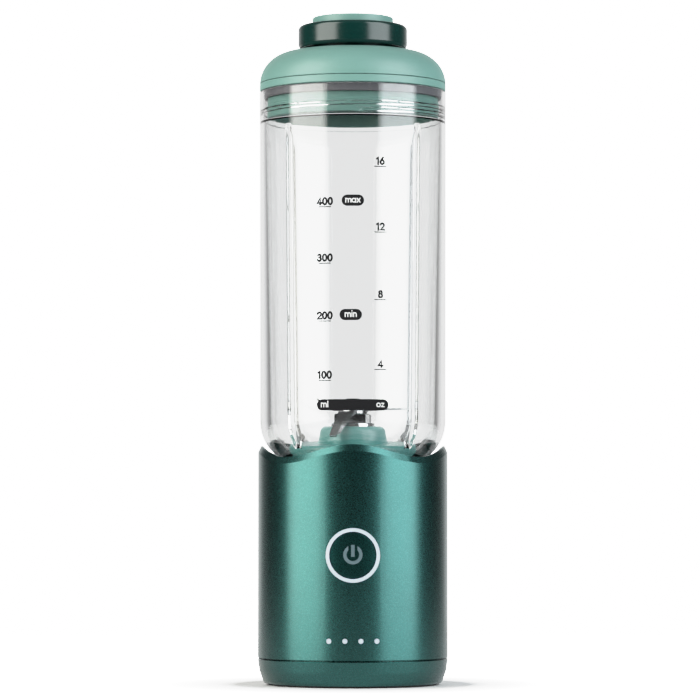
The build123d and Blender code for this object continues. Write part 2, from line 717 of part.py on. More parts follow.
def cup():
    """Clear cup: threaded collar, four ribs, rounded shoulder, and an open neck with four lugs."""
    centre_r = CUP_SHOULDER_R - SHOULDER_ARC
    neck_top = SHOULDER_Z - sqrt(SHOULDER_ARC ** 2 - (NECK_R - centre_r) ** 2)
    shoulder_mid = (centre_r + SHOULDER_ARC * cos(radians(25)), SHOULDER_Z - SHOULDER_ARC * sin(radians(25)))
    bowl_centre = BOWL_R - BOWL_ARC
    bowl_foot = BOWL_Z - sqrt(BOWL_ARC ** 2 - (NECK_BORE_R - bowl_centre) ** 2)
    bowl_mid = (bowl_centre + BOWL_ARC * cos(radians(28)), BOWL_Z - BOWL_ARC * sin(radians(28)))
    lip = 0.6
    wall = turned_lines(
        Line((NECK_BORE_R, CUP_BOTTOM_Z), (NECK_R, CUP_BOTTOM_Z)),
        Line((NECK_R, CUP_BOTTOM_Z), (NECK_R, neck_top)),
        ThreePointArc((NECK_R, neck_top), shoulder_mid, (CUP_SHOULDER_R, SHOULDER_Z)),
        Line((CUP_SHOULDER_R, SHOULDER_Z), (CUP_R, CUP_TOP_Z - lip)),
        Line((CUP_R, CUP_TOP_Z - lip), (CUP_R - lip, CUP_TOP_Z)),
        Line((CUP_R - lip, CUP_TOP_Z), (COLLAR_R, CUP_TOP_Z)),
        Line((COLLAR_R, CUP_TOP_Z), (COLLAR_R, COLLAR_Z)),
        Line((COLLAR_R, COLLAR_Z), (BORE_TOP_R, COLLAR_Z - 0.6)),
        Line((BORE_TOP_R, COLLAR_Z - 0.6), (BOWL_R, BOWL_Z)),
        ThreePointArc((BOWL_R, BOWL_Z), bowl_mid, (NECK_BORE_R, bowl_foot)),
        Line((NECK_BORE_R, bowl_foot), (NECK_BORE_R, CUP_BOTTOM_Z)))
    wall += thread_rings(COLLAR_R + 0.1, SKIRT_R + 0.9, (243.8, 243.8 + THREAD_PITCH))
    wall += around(cup_rib(), LUG_ANGLES)
    return wall + around(cup_lug(), LUG_ANGLES)


# ---- The lid ----
def lid_gasket():
    """Silicone ring between the lid's skirt and the cup's collar."""
    low = CUP_TOP_Z - 3.5
    return turned((SKIRT_R + 0.2, low), (COLLAR_R - 0.3, low, 0.4), (COLLAR_R - 0.3, CUP_TOP_Z),
                  (SKIRT_R + 0.2, CUP_TOP_Z))


def lid_liner():
    """Lid body: threaded skirt, flange, ceiling and spout."""
    seam = LID_SEAM_Z - 0.1
    ceiling = seam - 2.0
    body = turned((SKIRT_BORE_R, SKIRT_BOTTOM_Z), (SKIRT_R - 0.5, SKIRT_BOTTOM_Z),
                  (SKIRT_R, SKIRT_BOTTOM_Z + 0.5), (SKIRT_R, LID_BOTTOM_Z), (CUP_R - 0.4, LID_BOTTOM_Z),
                  (CUP_R, LID_BOTTOM_Z + 0.4), (CUP_R, seam - 0.3), (CUP_R - 0.3, seam), (SPOUT_R, seam),
                  (SPOUT_R, SPOUT_TOP_Z, 0.6), (SPOUT_BORE_R, SPOUT_TOP_Z, 0.6),
                  (SPOUT_BORE_R, ceiling, 1.2), (SKIRT_BORE_R, ceiling, 1.5))
    body += thread_rings(SKIRT_R - 0.1, SKIRT_R + 0.6, (245.65, 245.65 + THREAD_PITCH))
    return body + thread_rings(SPOUT_R - 0.1, SPOUT_R + 0.4, (274.0, 277.7))


def lid_dome():
    """Rounded outer shell of the lid, with a flat round the spout."""
    seam = LID_SEAM_Z + 0.1
    turn = radians(45)         # where the shoulder arc meets the crown arc
    centre_r = CUP_R - DOME_SHOULDER_ARC
    crown_r = centre_r + (DOME_SHOULDER_ARC - DOME_CROWN_ARC) * cos(turn)
    crown_z = DOME_ARC_Z + (DOME_SHOULDER_ARC - DOME_CROWN_ARC) * sin(turn)

    def shoulder(angle, depth):
        arc = DOME_SHOULDER_ARC - depth
        return centre_r + arc * cos(angle), DOME_ARC_Z + arc * sin(angle)

    def crown(radius, depth):
        arc = DOME_CROWN_ARC - depth
        return radius, crown_z + sqrt(arc ** 2 - (radius - crown_r) ** 2)

    def foot(depth):
        arc = DOME_SHOULDER_ARC - depth
        return centre_r + sqrt(arc ** 2 - (seam - DOME_ARC_Z) ** 2), seam

    lip_r = PLATEAU_R + 1.0
    hole_r = CAP_NECK_R + 0.6
    under = PLATEAU_Z - DOME_WALL
    inner_end = crown(lip_r - 0.5, DOME_WALL)
    outer_joint, inner_joint = shoulder(turn, 0), shoulder(turn, DOME_WALL)
    mid_low = radians(26)
    return turned_lines(
        ThreePointArc(foot(0), shoulder(mid_low, 0), outer_joint),
        ThreePointArc(outer_joint, crown(30.0, 0), crown(lip_r, 0)),
        Line(crown(lip_r, 0), (PLATEAU_R, PLATEAU_Z)),
        Line((PLATEAU_R, PLATEAU_Z), (hole_r, PLATEAU_Z)),
        Line((hole_r, PLATEAU_Z), (hole_r, under)),
        Line((hole_r, under), (PLATEAU_R - 0.6, under)),
        Line((PLATEAU_R - 0.6, under), inner_end),
        ThreePointArc(inner_end, crown(29.0, DOME_WALL), inner_joint),
        ThreePointArc(inner_joint, shoulder(mid_low, DOME_WALL), foot(DOME_WALL)),
        Line(foot(DOME_WALL), foot(0)))


# ---- The cap ----
def cap_seal():
    """Silicone disc that closes the spout."""
    low, high = SPOUT_TOP_Z + 0.1, SPOUT_TOP_Z + 1.0
    return turned((0, low), (SPOUT_R - 0.4, low, 0.3), (SPOUT_R - 0.4, high), (0, high))


def cap_band():
    """Deep outer band of the cap, open underneath."""
    low, high = CAP_Z
    return turned((INSERT_R - 2.2, high - 1.6), (CAP_R - 2.2, high - 1.6), (CAP_R - 2.2, low + 0.4),
                  (CAP_R - 1.8, low), (CAP_R - 0.7, low), (CAP_R, low + 1.4), (CAP_R, high, 1.9),
                  (INSERT_R - 2.2, high))


def cap_sleeve():
    """Threaded sleeve of the cap, round the spout."""
    bore = SPOUT_R + 0.8
    top = CAP_Z[1] - 1.65
    low = PLATEAU_Z + FREE
    sleeve = turned((bore, low), (CAP_NECK_R, low, 0.4), (CAP_NECK_R, top - 1.2, 0.8), (20.5, top - 1.2),
                    (20.5, top), (bore, top))
    return sleeve + thread_rings(bore + 0.1, SPOUT_R + 0.6, (275.85, 279.55))


def cap_insert():
    """Domed disc set into the top of the cap."""
    rim_low, rim_high = CAP_Z[1] + 0.05, CAP_Z[1] + 3.1
    under = SPOUT_TOP_Z + 1.3
    plug_r = INSERT_R - 2.3
    edge_r, edge_z = INSERT_R - 0.5, rim_high + 0.4
    rise = TOP_Z - edge_z
    crown_arc = (edge_r ** 2 + rise ** 2) / (2 * rise)
    middle_r = edge_r / 2
    crown_mid = (middle_r, TOP_Z - crown_arc + sqrt(crown_arc ** 2 - middle_r ** 2))
    return turned_lines(
        Line((0, under), (plug_r, under)),
        Line((plug_r, under), (plug_r, rim_low)),
        Line((plug_r, rim_low), (INSERT_R, rim_low)),
        Line((INSERT_R, rim_low), (INSERT_R, rim_high)),
        Line((INSERT_R, rim_high), (edge_r, edge_z)),
        ThreePointArc((edge_r, edge_z), crown_mid, (0, TOP_Z)),
        Line((0, TOP_Z), (0, under)))


# ---- The blades ----
def blade_arm(root, length, root_width, tip_width, bend_r, bend, z):
    """Arm of a blade: flat out to the bend, then tipped down by the bend angle."""
    thick = 1.0
    flat = block((root, bend_r + 0.3), (-root_width / 2, root_width / 2), (z, z + thick))
    back = -root_width / 2
    corners = ((0, back), (length, back + 0.6), (length - 2.5, back + tip_width), (0, -back))
    outline = Polyline(*corners, close=True)
    tip = extrude(make_face(outline), amount=thick)
    top_edges = tip.edges().filter_by(lambda e: e.center().Y > 0).group_by(Axis.Z)[-1]
    edge = top_edges.sort_by(Axis.Y)[-1]
    tip = chamfer(edge, 0.7)
    return flat + Pos(bend_r, 0, z) * Rot(0, bend, 0) * tip


def blade(z, arms):
    """Two-armed blade on a round centre with a flat-sided hole for the shaft."""
    body = disc(6.2, z, z + 1.0)
    for angle, bend_r, length, bend in arms:
        body += Rot(0, 0, angle) * blade_arm(2.0, length, 7.0, 4.6, bend_r, bend, z)
    return body - disc(SHAFT_R + 0.01, z - 1, z + 2)


def blade_lower():
    """Lower blade: one arm bent down, one bent up."""
    return blade(LOWER_BLADE_Z, ((-109, 8.0, 16.6, 38), (71, 8.0, 15.0, -20)))


def blade_upper():
    """Upper blade: one long arm nearly flat, one short arm bent up."""
    return blade(UPPER_BLADE_Z, ((0, 8.0, 15.9, -1.5), (180, 9.0, 8.0, -36)))


def blade_washer():
    """Washer between the blades and their nut."""
    return ring(SHAFT_R + 0.01, 5.4, UPPER_BLADE_Z + 1.05, BLADE_NUT_Z - 0.05)


def blade_nut():
    """Domed nut that clamps the blades."""
    low = BLADE_NUT_Z
    hexagon = Pos(0, 0, low) * extrude(RegularPolygon(radius=4.6, side_count=6), amount=2.6)
    dome = turned((0, low + 2.5), (3.7, low + 2.5), (2.9, low + 3.6, 0.6), (0, low + 3.6))
    return hexagon + dome - disc(SHAFT_R + 0.01, low - 1, low + 2.9)


def blade_shaft():
    """Blade shaft, from the coupling up to the nut."""
    return disc(SHAFT_R, 85.1, BLADE_NUT_Z + 2.8)


PIECES = (
    base_housing, base_cover, foot_ring, cover_screws, socket_ring, socket_screws, blade_platform,
    platform_screws, hub_sleeve, shaft_bearings, shaft_seal, vessel_seal, interlock_pin, interlock_spring,
    interlock_switch, motor_can, motor_magnets, motor_endcap, motor_brushes, motor_bearings, motor_bracket,
    motor_screws, motor_shaft, armature_core, armature_windings, commutator, shaft_coupling, battery_cells,
    battery_cradle, battery_cap, battery_tabs, main_board, board_components, board_screws, usb_socket,
    port_flap, control_board, button_switch, led_chips, light_pipes, motor_wires, battery_wires, button_ring,
    button_cap, button_icon, cup, lid_gasket, lid_liner, lid_dome, cap_seal, cap_band, cap_sleeve,
    cap_insert, blade_lower, blade_upper, blade_washer, blade_nut, blade_shaft,
)

os.makedirs("parts", exist_ok=True)
for piece in PIECES:
    export_step(piece(), f"parts/{piece.__name__}.step")
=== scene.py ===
import json
import math
import bpy
import bmesh
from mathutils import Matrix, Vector


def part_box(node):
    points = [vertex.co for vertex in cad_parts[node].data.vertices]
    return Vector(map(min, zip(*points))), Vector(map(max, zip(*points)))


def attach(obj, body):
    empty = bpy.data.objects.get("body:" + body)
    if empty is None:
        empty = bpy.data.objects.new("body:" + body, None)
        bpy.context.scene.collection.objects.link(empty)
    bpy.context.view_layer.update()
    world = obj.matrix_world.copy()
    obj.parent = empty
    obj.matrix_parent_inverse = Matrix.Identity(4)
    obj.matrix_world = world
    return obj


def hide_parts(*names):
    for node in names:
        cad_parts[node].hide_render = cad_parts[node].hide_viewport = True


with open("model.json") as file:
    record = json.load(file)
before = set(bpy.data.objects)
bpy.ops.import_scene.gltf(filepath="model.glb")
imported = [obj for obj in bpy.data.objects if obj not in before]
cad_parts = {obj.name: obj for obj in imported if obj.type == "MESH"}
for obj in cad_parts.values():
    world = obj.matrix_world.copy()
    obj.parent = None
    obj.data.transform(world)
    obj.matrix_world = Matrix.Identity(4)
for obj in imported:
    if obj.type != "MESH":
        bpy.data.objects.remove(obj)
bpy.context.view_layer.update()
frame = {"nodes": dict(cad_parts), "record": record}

# Looks of the cordless cup blender. Mesh code works in millimetres, and piece() turns them into metres.
MM = 0.001

# ---- Camera and studio, in metres and degrees ----
CAMERA_AT = (-0.0012, -1.550, 0.074)
CAMERA_TILT = 2.56             # upwards
CAMERA_LENS = 185.6            # on a 36 mm sensor
SOFTBOX_AZIMUTH = 58.0         # either side of the front
SOFTBOX_DISTANCE = 0.9
SOFTBOX_SIZE = (0.92, 1.5)
SOFTBOX_HEIGHT = 0.72
SOFTBOXES = (                  # side, watts and tint
    (-1, 28.5, (1.0, 1.0, 0.95)),
    (1, 25.5, (0.95, 1.0, 1.02)),
)
SOFTBOX_EDGE = 0.16            # share of the width over which each upright edge fades
SOFTBOX_EDGE_LEVEL = 0.15      # strength left at the very edge
BACKGROUND = 1.0               # radiance of the bright wall behind
WALL_STOPS = (                 # from the front to the back: place and share of that radiance
    (0.0, 0.03), (0.5, 0.03), (0.78, 0.06), (0.89, 0.32), (0.94, 0.85), (0.97, 1.0),
)
CEILING = 0.15                 # share of it overhead
CEILING_FADE = (0.35, 0.9)     # height of a direction over which the ceiling brightens
FLOOR_SIZE = 1.2
FLOOR_PAINTED_GLOW = (0.050, 0.086)    # distance from the middle over which a painted glow, seen only by the camera, fades the table to white
FLOOR_MOTTLE = 400.0           # size of its faint patches, in millimetres
WHITE = 4.0                    # radiance that the film shows as pure white
FILM_CURVE = (                 # radiance and how bright it is shown
    (0.6, 0.6), (0.8, 0.765), (1.1, 0.87), (1.6, 0.925), (2.6, 0.96),
)

# ---- Mesh fineness ----
COLUMNS = 160                  # columns of a plain turned piece
FINE_COLUMNS = 180             # columns of a large one
ROUND_STEPS = 6                # segments of one rounded corner
SHARP_ANGLE = 34.0             # degrees; softer edges are shaded smooth

# ---- The cup, as the CAD part has it ----
CUP_SHOULDER_R = 39.8
SHOULDER_Z = 112.5
SHOULDER_ARC = 18.7
NECK_R = 31.0
NECK_BORE_R = 28.0
BOWL_Z = 113.5
BOWL_ARC = 16.5
BOWL_R = 35.2
BORE_TOP_R = 37.5
COLLAR_Z = 241.3
COLLAR_R = 38.5
LIP_ROUND = 0.6
RIB_ANGLES = (45, 135, 225, 315)
RIB_HEIGHT = 2.0
RIB_HALF_WIDTH = 1.3
RIB_Z = (102.2, 238.0)
LUG_Z = (88.0, 91.5)
LUG_HEIGHT = 3.0
LUG_HALF_WIDTH = 12.0          # degrees
LUG_RAMP_START = 3.6           # degrees
LUG_RAMP_TILT = 7.8            # degrees

# ---- Threads ----
PITCH = 2.9
THREAD_START = -88.0           # degrees, just right of the front
THREAD_HALF_ROOT = 1.0
THREAD_HALF_CREST = 0.45
THREAD_FADE = 0.012            # of a turn, at each end
CUP_THREAD = (0.5, 243.0, 1.3)     # ridge height, start height and turns
LID_THREAD = (0.5, 2.2, 1.5)       # the same, but starting above the skirt's bottom
SPOUT_THREAD = (0.4, 2.4, 1.6)     # starting above the plateau
CAP_THREAD = (0.2, 2.2, 1.6)       # starting above the sleeve's bottom

# ---- The lid and the cap, as the CAD part has them ----
SKIRT_R = 36.8
SKIRT_BORE_R = 35.0
DOME_ARC_Z = 257.6
DOME_SHOULDER_ARC = 13.6
DOME_CROWN_ARC = 15.0
DOME_WALL = 2.0
PLATEAU_Z = 270.2
PLATEAU_R = 24.2
SPOUT_R = 15.2
SPOUT_BORE_R = 12.5
INSERT_EDGE = 0.5
INSERT_RISE = 3.45             # from the band's top to the disc's edge
CAP_HOLE_R = 17.8              # hole in the dome round the cap's sleeve


def span(node):
    """Lowest and highest corner of a CAD node, in millimetres."""
    low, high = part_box(node)
    return low / MM, high / MM


# ================================ Mesh helpers ================================
def arc(centre, radius, start, end, steps):
    """Points of an arc in the outline's plane, from one angle in degrees to another."""
    points = []
    for step in range(steps + 1):
        angle = math.radians(start + (end - start) * step / steps)
        points.append((centre[0] + radius * math.cos(angle), centre[1] + radius * math.sin(angle)))
    return points


def line(start, end, steps):
    """Points of a straight stretch, without its last one."""
    start, end = Vector(start), Vector(end)
    return [tuple(start.lerp(end, step / steps)) for step in range(steps)]


def rounded(*corners):
    """Closed outline from (radius, height) corners; a third number rounds that corner."""
    points = []
    for index, corner in enumerate(corners):
        here = Vector(corner[:2])
        if len(corner) < 3:
            points.append(tuple(here))
            continue
        before = Vector(corners[index - 1][:2]) - here
        after = Vector(corners[(index + 1) % len(corners)][:2]) - here
        half = before.angle(after) / 2
        reach = min(corner[2] / math.tan(half), 0.48 * before.length, 0.48 * after.length)
        radius = reach * math.tan(half)
        middle = (before.normalized() + after.normalized()).normalized()
        centre = here + middle * (radius / math.sin(half))
        spoke = here + before.normalized() * reach - centre
        last = here + after.normalized() * reach - centre
        sweep = math.atan2(spoke.x * last.y - spoke.y * last.x, spoke.dot(last))
        start = math.atan2(spoke.y, spoke.x)
        points += arc(centre, radius, math.degrees(start), math.degrees(start + sweep), ROUND_STEPS)
    return points


def even_columns(count=COLUMNS):
    """Angles in degrees all round."""
    return [360 * step / count for step in range(count)]


def lathe(outline, columns=None, relief=None):
    """Closed outline turned about Z. relief(angle, r, z) raises the surface out of the material."""
    columns = columns or even_columns()
    count = len(outline)
    area = 0
    for here, after in zip(outline[-1:] + outline[:-1], outline):
        area += here[0] * after[1] - after[0] * here[1]
    side = 1 if area > 0 else -1
    vertices, rings = [], []
    for index, (r, z) in enumerate(outline):
        if r < 1e-6:
            rings.append([len(vertices)] * len(columns))
            vertices.append((0, 0, z))
            continue
        along = Vector(outline[(index + 1) % count]) - Vector(outline[index - 1])
        out = Vector((along.y, -along.x)).normalized() * side
        rings.append([])
        for angle in columns:
            height = relief(angle, r, z) if relief else 0
            radius = r + out.x * height
            turn = math.radians(angle)
            rings[-1].append(len(vertices))
            vertices.append((radius * math.cos(turn), radius * math.sin(turn), z + out.y * height))
    faces = []
    for index in range(count):
        here, after = rings[index - 1], rings[index]
        for column in range(len(columns)):
            beside = (column + 1) % len(columns)
            corners = (here[column], here[beside], after[beside], after[column])
            corners = tuple(dict.fromkeys(corners))
            if len(corners) > 2:
                faces.append(corners)
    return vertices, faces


def piece(name, shape, body, slot, material, *nodes):
    """Object from (vertices in mm, faces) that rides on a body and stands for CAD nodes."""
    vertices, faces = shape
    mesh = bpy.data.meshes.new(name)
    mesh.from_pydata([Vector(v) * MM for v in vertices], [], faces)
    tidy = bmesh.new()
    tidy.from_mesh(mesh)
    bmesh.ops.recalc_face_normals(tidy, faces=tidy.faces)
    tidy.to_mesh(mesh)
    tidy.free()
    mesh.shade_smooth()
    mesh.set_sharp_from_angle(angle=math.radians(SHARP_ANGLE))
    mesh.materials.append(material)
    made = bpy.data.objects.new(name, mesh)
    bpy.context.scene.collection.objects.link(made)
    even = made.modifiers.new("even_shading", "WEIGHTED_NORMAL")
    even.keep_sharp = True
    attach(made, body)
    if nodes:
        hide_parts(*nodes)
    return made


def ease(value):
    """Smooth step from 0 to 1."""
    value = min(1, max(0, value))
    return value * value * (3 - 2 * value)


def helix(angle, z, thread, from_z=0.0):
    """Height of a helical ridge at an angle in degrees and a height z.

    The thread is (ridge height, start height, turns), and it starts at that height above from_z.
    """
    ridge, start, turns = thread
    best = 0
    for turn in range(math.ceil(turns)):
        travelled = (angle - THREAD_START) % 360 / 360 + turn
        fade = ease(min(travelled, turns - travelled) / THREAD_FADE)
        gap = abs(z - from_z - start - travelled * PITCH)
        flank = ease((THREAD_HALF_ROOT - gap) / (THREAD_HALF_ROOT - THREAD_HALF_CREST))
        best = max(best, fade * flank)
    return ridge * best


# ================================ Materials ================================
def add(tree, kind, **inputs):
    """New node with its inputs set or linked; an underscore in a name stands for a space."""
    node = tree.nodes.new(kind)
    for name, value in inputs.items():
        socket = node.inputs[name.replace("_", " ")]
        if isinstance(value, bpy.types.NodeSocket):
            tree.links.new(value, socket)
        else:
            socket.default_value = value
    return node


def new_material(name, roughness, **sockets):
    """Material with a principled shader; returns it with its tree, shader and object coordinates."""
    material = bpy.data.materials.new(name)
    material.use_nodes = True
    tree = material.node_tree
    shader = tree.nodes["Principled BSDF"]
    shader.inputs["Roughness"].default_value = roughness
    for socket, value in sockets.items():
        shader.inputs[socket.replace("_", " ")].default_value = value
    place = tree.nodes.new("ShaderNodeTexCoord").outputs["Object"]
    return material, tree, shader, place


def noise(tree, place, size, stretch=(1, 1, 1), detail=2.0):
    """Noise with features of a size in millimetres, from 0 to 1."""
    scaled = add(tree, "ShaderNodeVectorMath", Vector=place)
    scaled.operation = "MULTIPLY"
    scaled.inputs[1].default_value = stretch
    texture = add(tree, "ShaderNodeTexNoise", Vector=scaled.outputs[0], Scale=1000 / size, Detail=detail)
    return texture.outputs["Fac"]


def spread(tree, value, low, high, start=0.3, end=0.7):
    """Maps a range, at first the middle one of a noise, onto low to high."""
    mapped = add(tree, "ShaderNodeMapRange", Value=value)
    mapped.inputs["From Min"].default_value = start
    mapped.inputs["From Max"].default_value = end
    mapped.inputs["To Min"].default_value = low
    mapped.inputs["To Max"].default_value = high
    return mapped.outputs["Result"]


def blended(tree, factor, first, second):
    """Colour between two, by a factor."""
    mix = tree.nodes.new("ShaderNodeMix")
    mix.data_type = "RGBA"
    tree.links.new(factor, mix.inputs["Factor"])
    for name, value in (("A", first), ("B", second)):
        socket = [s for s in mix.inputs if s.name == name and s.type == "RGBA"][0]
        if isinstance(value, bpy.types.NodeSocket):
            tree.links.new(value, socket)
        else:
            socket.default_value = (*value, 1)
    return [s for s in mix.outputs if s.type == "RGBA"][0]


def bumped(tree, shader, height, depth, edge=0.0):
    """Bump of a depth in millimetres on the shader, over edges softened by a radius."""
    bump = add(tree, "ShaderNodeBump", Height=height, Distance=depth * MM)
    if edge:
        soft = add(tree, "ShaderNodeBevel", Radius=edge * MM)
        soft.samples = 4
        tree.links.new(soft.outputs["Normal"], bump.inputs["Normal"])
    tree.links.new(bump.outputs["Normal"], shader.inputs["Normal"])


def shade(colour, factor):
    """Colour made darker or lighter."""
    return tuple(min(1, part * factor) for part in colour)


def moulded(name, colour, roughness, grain=0.35, depth=0.02, uneven=0.06, tint=0.1, edge=0.12,
            **sockets):
    """Moulded plastic or rubber: slow colour patches, uneven gloss and a fine spark-eroded grain."""
    material, tree, shader, place = new_material(name, roughness, **sockets)
    patches = noise(tree, place, 14.0)
    darker, lighter = shade(colour, 1 - tint / 2), shade(colour, 1 + tint / 2)
    colours = blended(tree, spread(tree, patches, 0, 1), darker, lighter)
    tree.links.new(colours, shader.inputs["Base Color"])
    fine = noise(tree, place, grain, detail=3.0)
    gloss = spread(tree, fine, roughness - uneven, roughness + uneven)
    tree.links.new(gloss, shader.inputs["Roughness"])
    bumped(tree, shader, fine, depth, edge)
    return material


def machined(name, colour, roughness, stretch=(1, 1, 1), mark=0.5, depth=0.01, uneven=0.08, edge=0.1,
             **sockets):
    """Metal with tool or brush marks that are longer across the small numbers of stretch."""
    material, tree, shader, place = new_material(name, roughness, Metallic=1.0, **sockets)
    marks = noise(tree, place, mark, stretch, detail=4.0)
    stains = noise(tree, place, 6.0)
    colours = blended(tree, spread(tree, stains, 0, 1), shade(colour, 0.9), shade(colour, 1.06))
    tree.links.new(colours, shader.inputs["Base Color"])
    gloss = spread(tree, marks, roughness - uneven, roughness + uneven)
    tree.links.new(gloss, shader.inputs["Roughness"])
    bumped(tree, shader, marks, depth, edge)
    return material


def metallic_paint(name, colour, flake_colour, roughness, **sockets):
    """Metallic lacquer: small flakes at slightly different angles under a satin coat."""
    material, tree, shader, place = new_material(name, roughness, **sockets)
    flakes = add(tree, "ShaderNodeTexVoronoi", Vector=place, Scale=1000 / 0.22)
    patches = noise(tree, place, 22.0)
    fleck = add(tree, "ShaderNodeSeparateColor", Color=flakes.outputs["Color"]).outputs[0]
    base = blended(tree, spread(tree, patches, 0, 1), shade(colour, 0.94), shade(colour, 1.06))
    colours = blended(tree, spread(tree, fleck, 0, 0.5, 0.72, 1.0), base, flake_colour)
    tree.links.new(colours, shader.inputs["Base Color"])
    gloss = spread(tree, fleck, roughness - 0.05, roughness + 0.05, 0, 1)
    tree.links.new(gloss, shader.inputs["Roughness"])
    orange_peel = noise(tree, place, 0.5, detail=2.0)
    bumped(tree, shader, orange_peel, 0.012, 0.18)
    return material


def clear_plastic(name):
    """Clear moulded plastic, with the faintest waviness and haze."""
    material, tree, shader, place = new_material(name, 0.0, Transmission_Weight=1.0, IOR=1.5)
    shader.inputs["Base Color"].default_value = (0.985, 0.992, 0.992, 1)
    haze = noise(tree, place, 9.0, (1, 1, 0.3))
    tree.links.new(spread(tree, haze, 0.0, 0.025), shader.inputs["Roughness"])
    waves = noise(tree, place, 26.0, (1, 1, 0.25), detail=1.0)
    bumped(tree, shader, waves, 0.05)
    return material


def striped(name, colour, dark, roughness, pitch, metallic, direction="Z", depth=0.15):
    """Stacked sheets or wound wire: fine bands across one axis."""
    material, tree, shader, place = new_material(name, roughness, Metallic=metallic)
    bands = add(tree, "ShaderNodeTexWave", Vector=place, Scale=1000 / pitch / 6.283 * 2, Distortion=0.6)
    bands.bands_direction = direction
    tree.links.new(blended(tree, bands.outputs["Fac"], dark, colour), shader.inputs["Base Color"])
    gloss = spread(tree, noise(tree, place, 1.2), roughness - 0.08, roughness + 0.08)
    tree.links.new(gloss, shader.inputs["Roughness"])
    bumped(tree, shader, bands.outputs["Fac"], depth, 0.1)
    return material


def solder_mask(name, colour, trace_colour):
    """Printed circuit: raised traces under green lacquer."""
    material, tree, shader, place = new_material(name, 0.32, Coat_Weight=0.3)
    grid = add(tree, "ShaderNodeTexVoronoi", Vector=place, Scale=1000 / 2.4)
    grid.distance = "CHEBYCHEV"
    grid.feature = "F2"
    traces = spread(tree, grid.outputs["Distance"], 0, 1, 0.46, 0.52)
    tree.links.new(blended(tree, traces, colour, trace_colour), shader.inputs["Base Color"])
    gloss = spread(tree, noise(tree, place, 0.8), 0.26, 0.4)
    tree.links.new(gloss, shader.inputs["Roughness"])
    bumped(tree, shader, traces, 0.03, 0.08)
    return material


def glowing(name, colour, strength, roughness):
    """Milky light guide, lit from inside and a little brighter in places."""
    material = moulded(name, colour, roughness, grain=0.6, depth=0.01, Subsurface_Weight=0.2)
    shader = material.node_tree.nodes["Principled BSDF"]
    shader.inputs["Emission Color"].default_value = (*colour, 1)
    tree = material.node_tree
    place = tree.nodes.new("ShaderNodeTexCoord").outputs["Object"]
    uneven = spread(tree, noise(tree, place, 4.0), strength * 0.85, strength * 1.1)
    tree.links.new(uneven, shader.inputs["Emission Strength"])
    return material


SAGE = (0.115, 0.225, 0.200)
HUB_GREEN = (0.080, 0.225, 0.210)
DEEP_GREEN = (0.002, 0.020, 0.017)
PAINT = (0.010, 0.074, 0.068)

FINISHES = {
    "metallic_green": metallic_paint("metallic_green", PAINT, (0.04, 0.15, 0.14), 0.29, Metallic=1.0,
                                     Coat_Weight=0.6, Coat_Roughness=0.24),
    "button_green": metallic_paint("button_green", shade(PAINT, 0.7), (0.02, 0.07, 0.065), 0.30,
                                   Metallic=1.0, Coat_Weight=0.3, Coat_Roughness=0.2),
    "deep_green": moulded("deep_green", DEEP_GREEN, 0.2, grain=1.2, depth=0.006, uneven=0.03),
    "sage": moulded("sage", SAGE, 0.42, grain=0.3, depth=0.016, uneven=0.05, tint=0.05),
    "hub_green": moulded("hub_green", HUB_GREEN, 0.28, grain=0.3, depth=0.012, uneven=0.05, tint=0.05),
    "clear": clear_plastic("clear"),
    "grey_silicone": moulded("grey_silicone", (0.085, 0.085, 0.095), 0.5, depth=0.012),
    "green_silicone": moulded("green_silicone", (0.02, 0.09, 0.085), 0.55, depth=0.015),
    "black_rubber": moulded("black_rubber", (0.018, 0.018, 0.019), 0.72, grain=0.5, depth=0.04),
    "black_plastic": moulded("black_plastic", (0.012, 0.030, 0.030), 0.45, depth=0.03),
    "white_acetal": moulded("white_acetal", (0.78, 0.78, 0.75), 0.35, depth=0.01),
    "light_ring": glowing("light_ring", (0.42, 0.45, 0.50), 0.15, 0.3),
    "icon_grey": moulded("icon_grey", (0.07, 0.11, 0.125), 0.45, depth=0.006, edge=0.05),
    "chrome": machined("chrome", (0.58, 0.59, 0.60), 0.07, (1, 1, 0.1), depth=0.002, uneven=0.04),
    "blade_steel": machined("blade_steel", (0.36, 0.365, 0.37), 0.16, (0.12, 1, 1), mark=0.25,
                            depth=0.012),
    "steel": machined("steel", (0.55, 0.56, 0.58), 0.32, (1, 1, 0.15), depth=0.008),
    "iron": striped("iron", (0.26, 0.26, 0.27), (0.05, 0.05, 0.055), 0.45, 0.5, 0.8),
    "copper": striped("copper", (0.72, 0.28, 0.12), (0.28, 0.08, 0.03), 0.35, 0.45, 0.9, depth=0.2),
    "carbon": moulded("carbon", (0.03, 0.03, 0.032), 0.6, grain=0.2, depth=0.03),
    "cell_wrap": moulded("cell_wrap", (0.04, 0.20, 0.42), 0.3, grain=2.5, depth=0.08),
    "nickel": machined("nickel", (0.68, 0.66, 0.62), 0.28, (0.1, 1, 1), depth=0.01),
    "board_green": solder_mask("board_green", (0.01, 0.10, 0.04), (0.03, 0.20, 0.09)),
    "wire_red": moulded("wire_red", (0.45, 0.02, 0.02), 0.4, grain=1.5, depth=0.02),
    "print_black": moulded("print_black", (0.008, 0.008, 0.009), 0.8, depth=0.004, edge=0,
                           Specular_IOR_Level=0.1),
    "print_white": moulded("print_white", (0.70, 0.70, 0.70), 0.8, depth=0.004, edge=0,
                           Specular_IOR_Level=0.1),
}

for part in frame["record"]["subparts"]:
    mesh = frame["nodes"][part["node"]].data
    mesh.materials.clear()
    finish = "hub_green" if part["node"] == "blade_platform" else part["material_slot"]
    mesh.materials.append(FINISHES[finish])


# ================================ The cup ================================
cup_low, cup_high = span("cup")


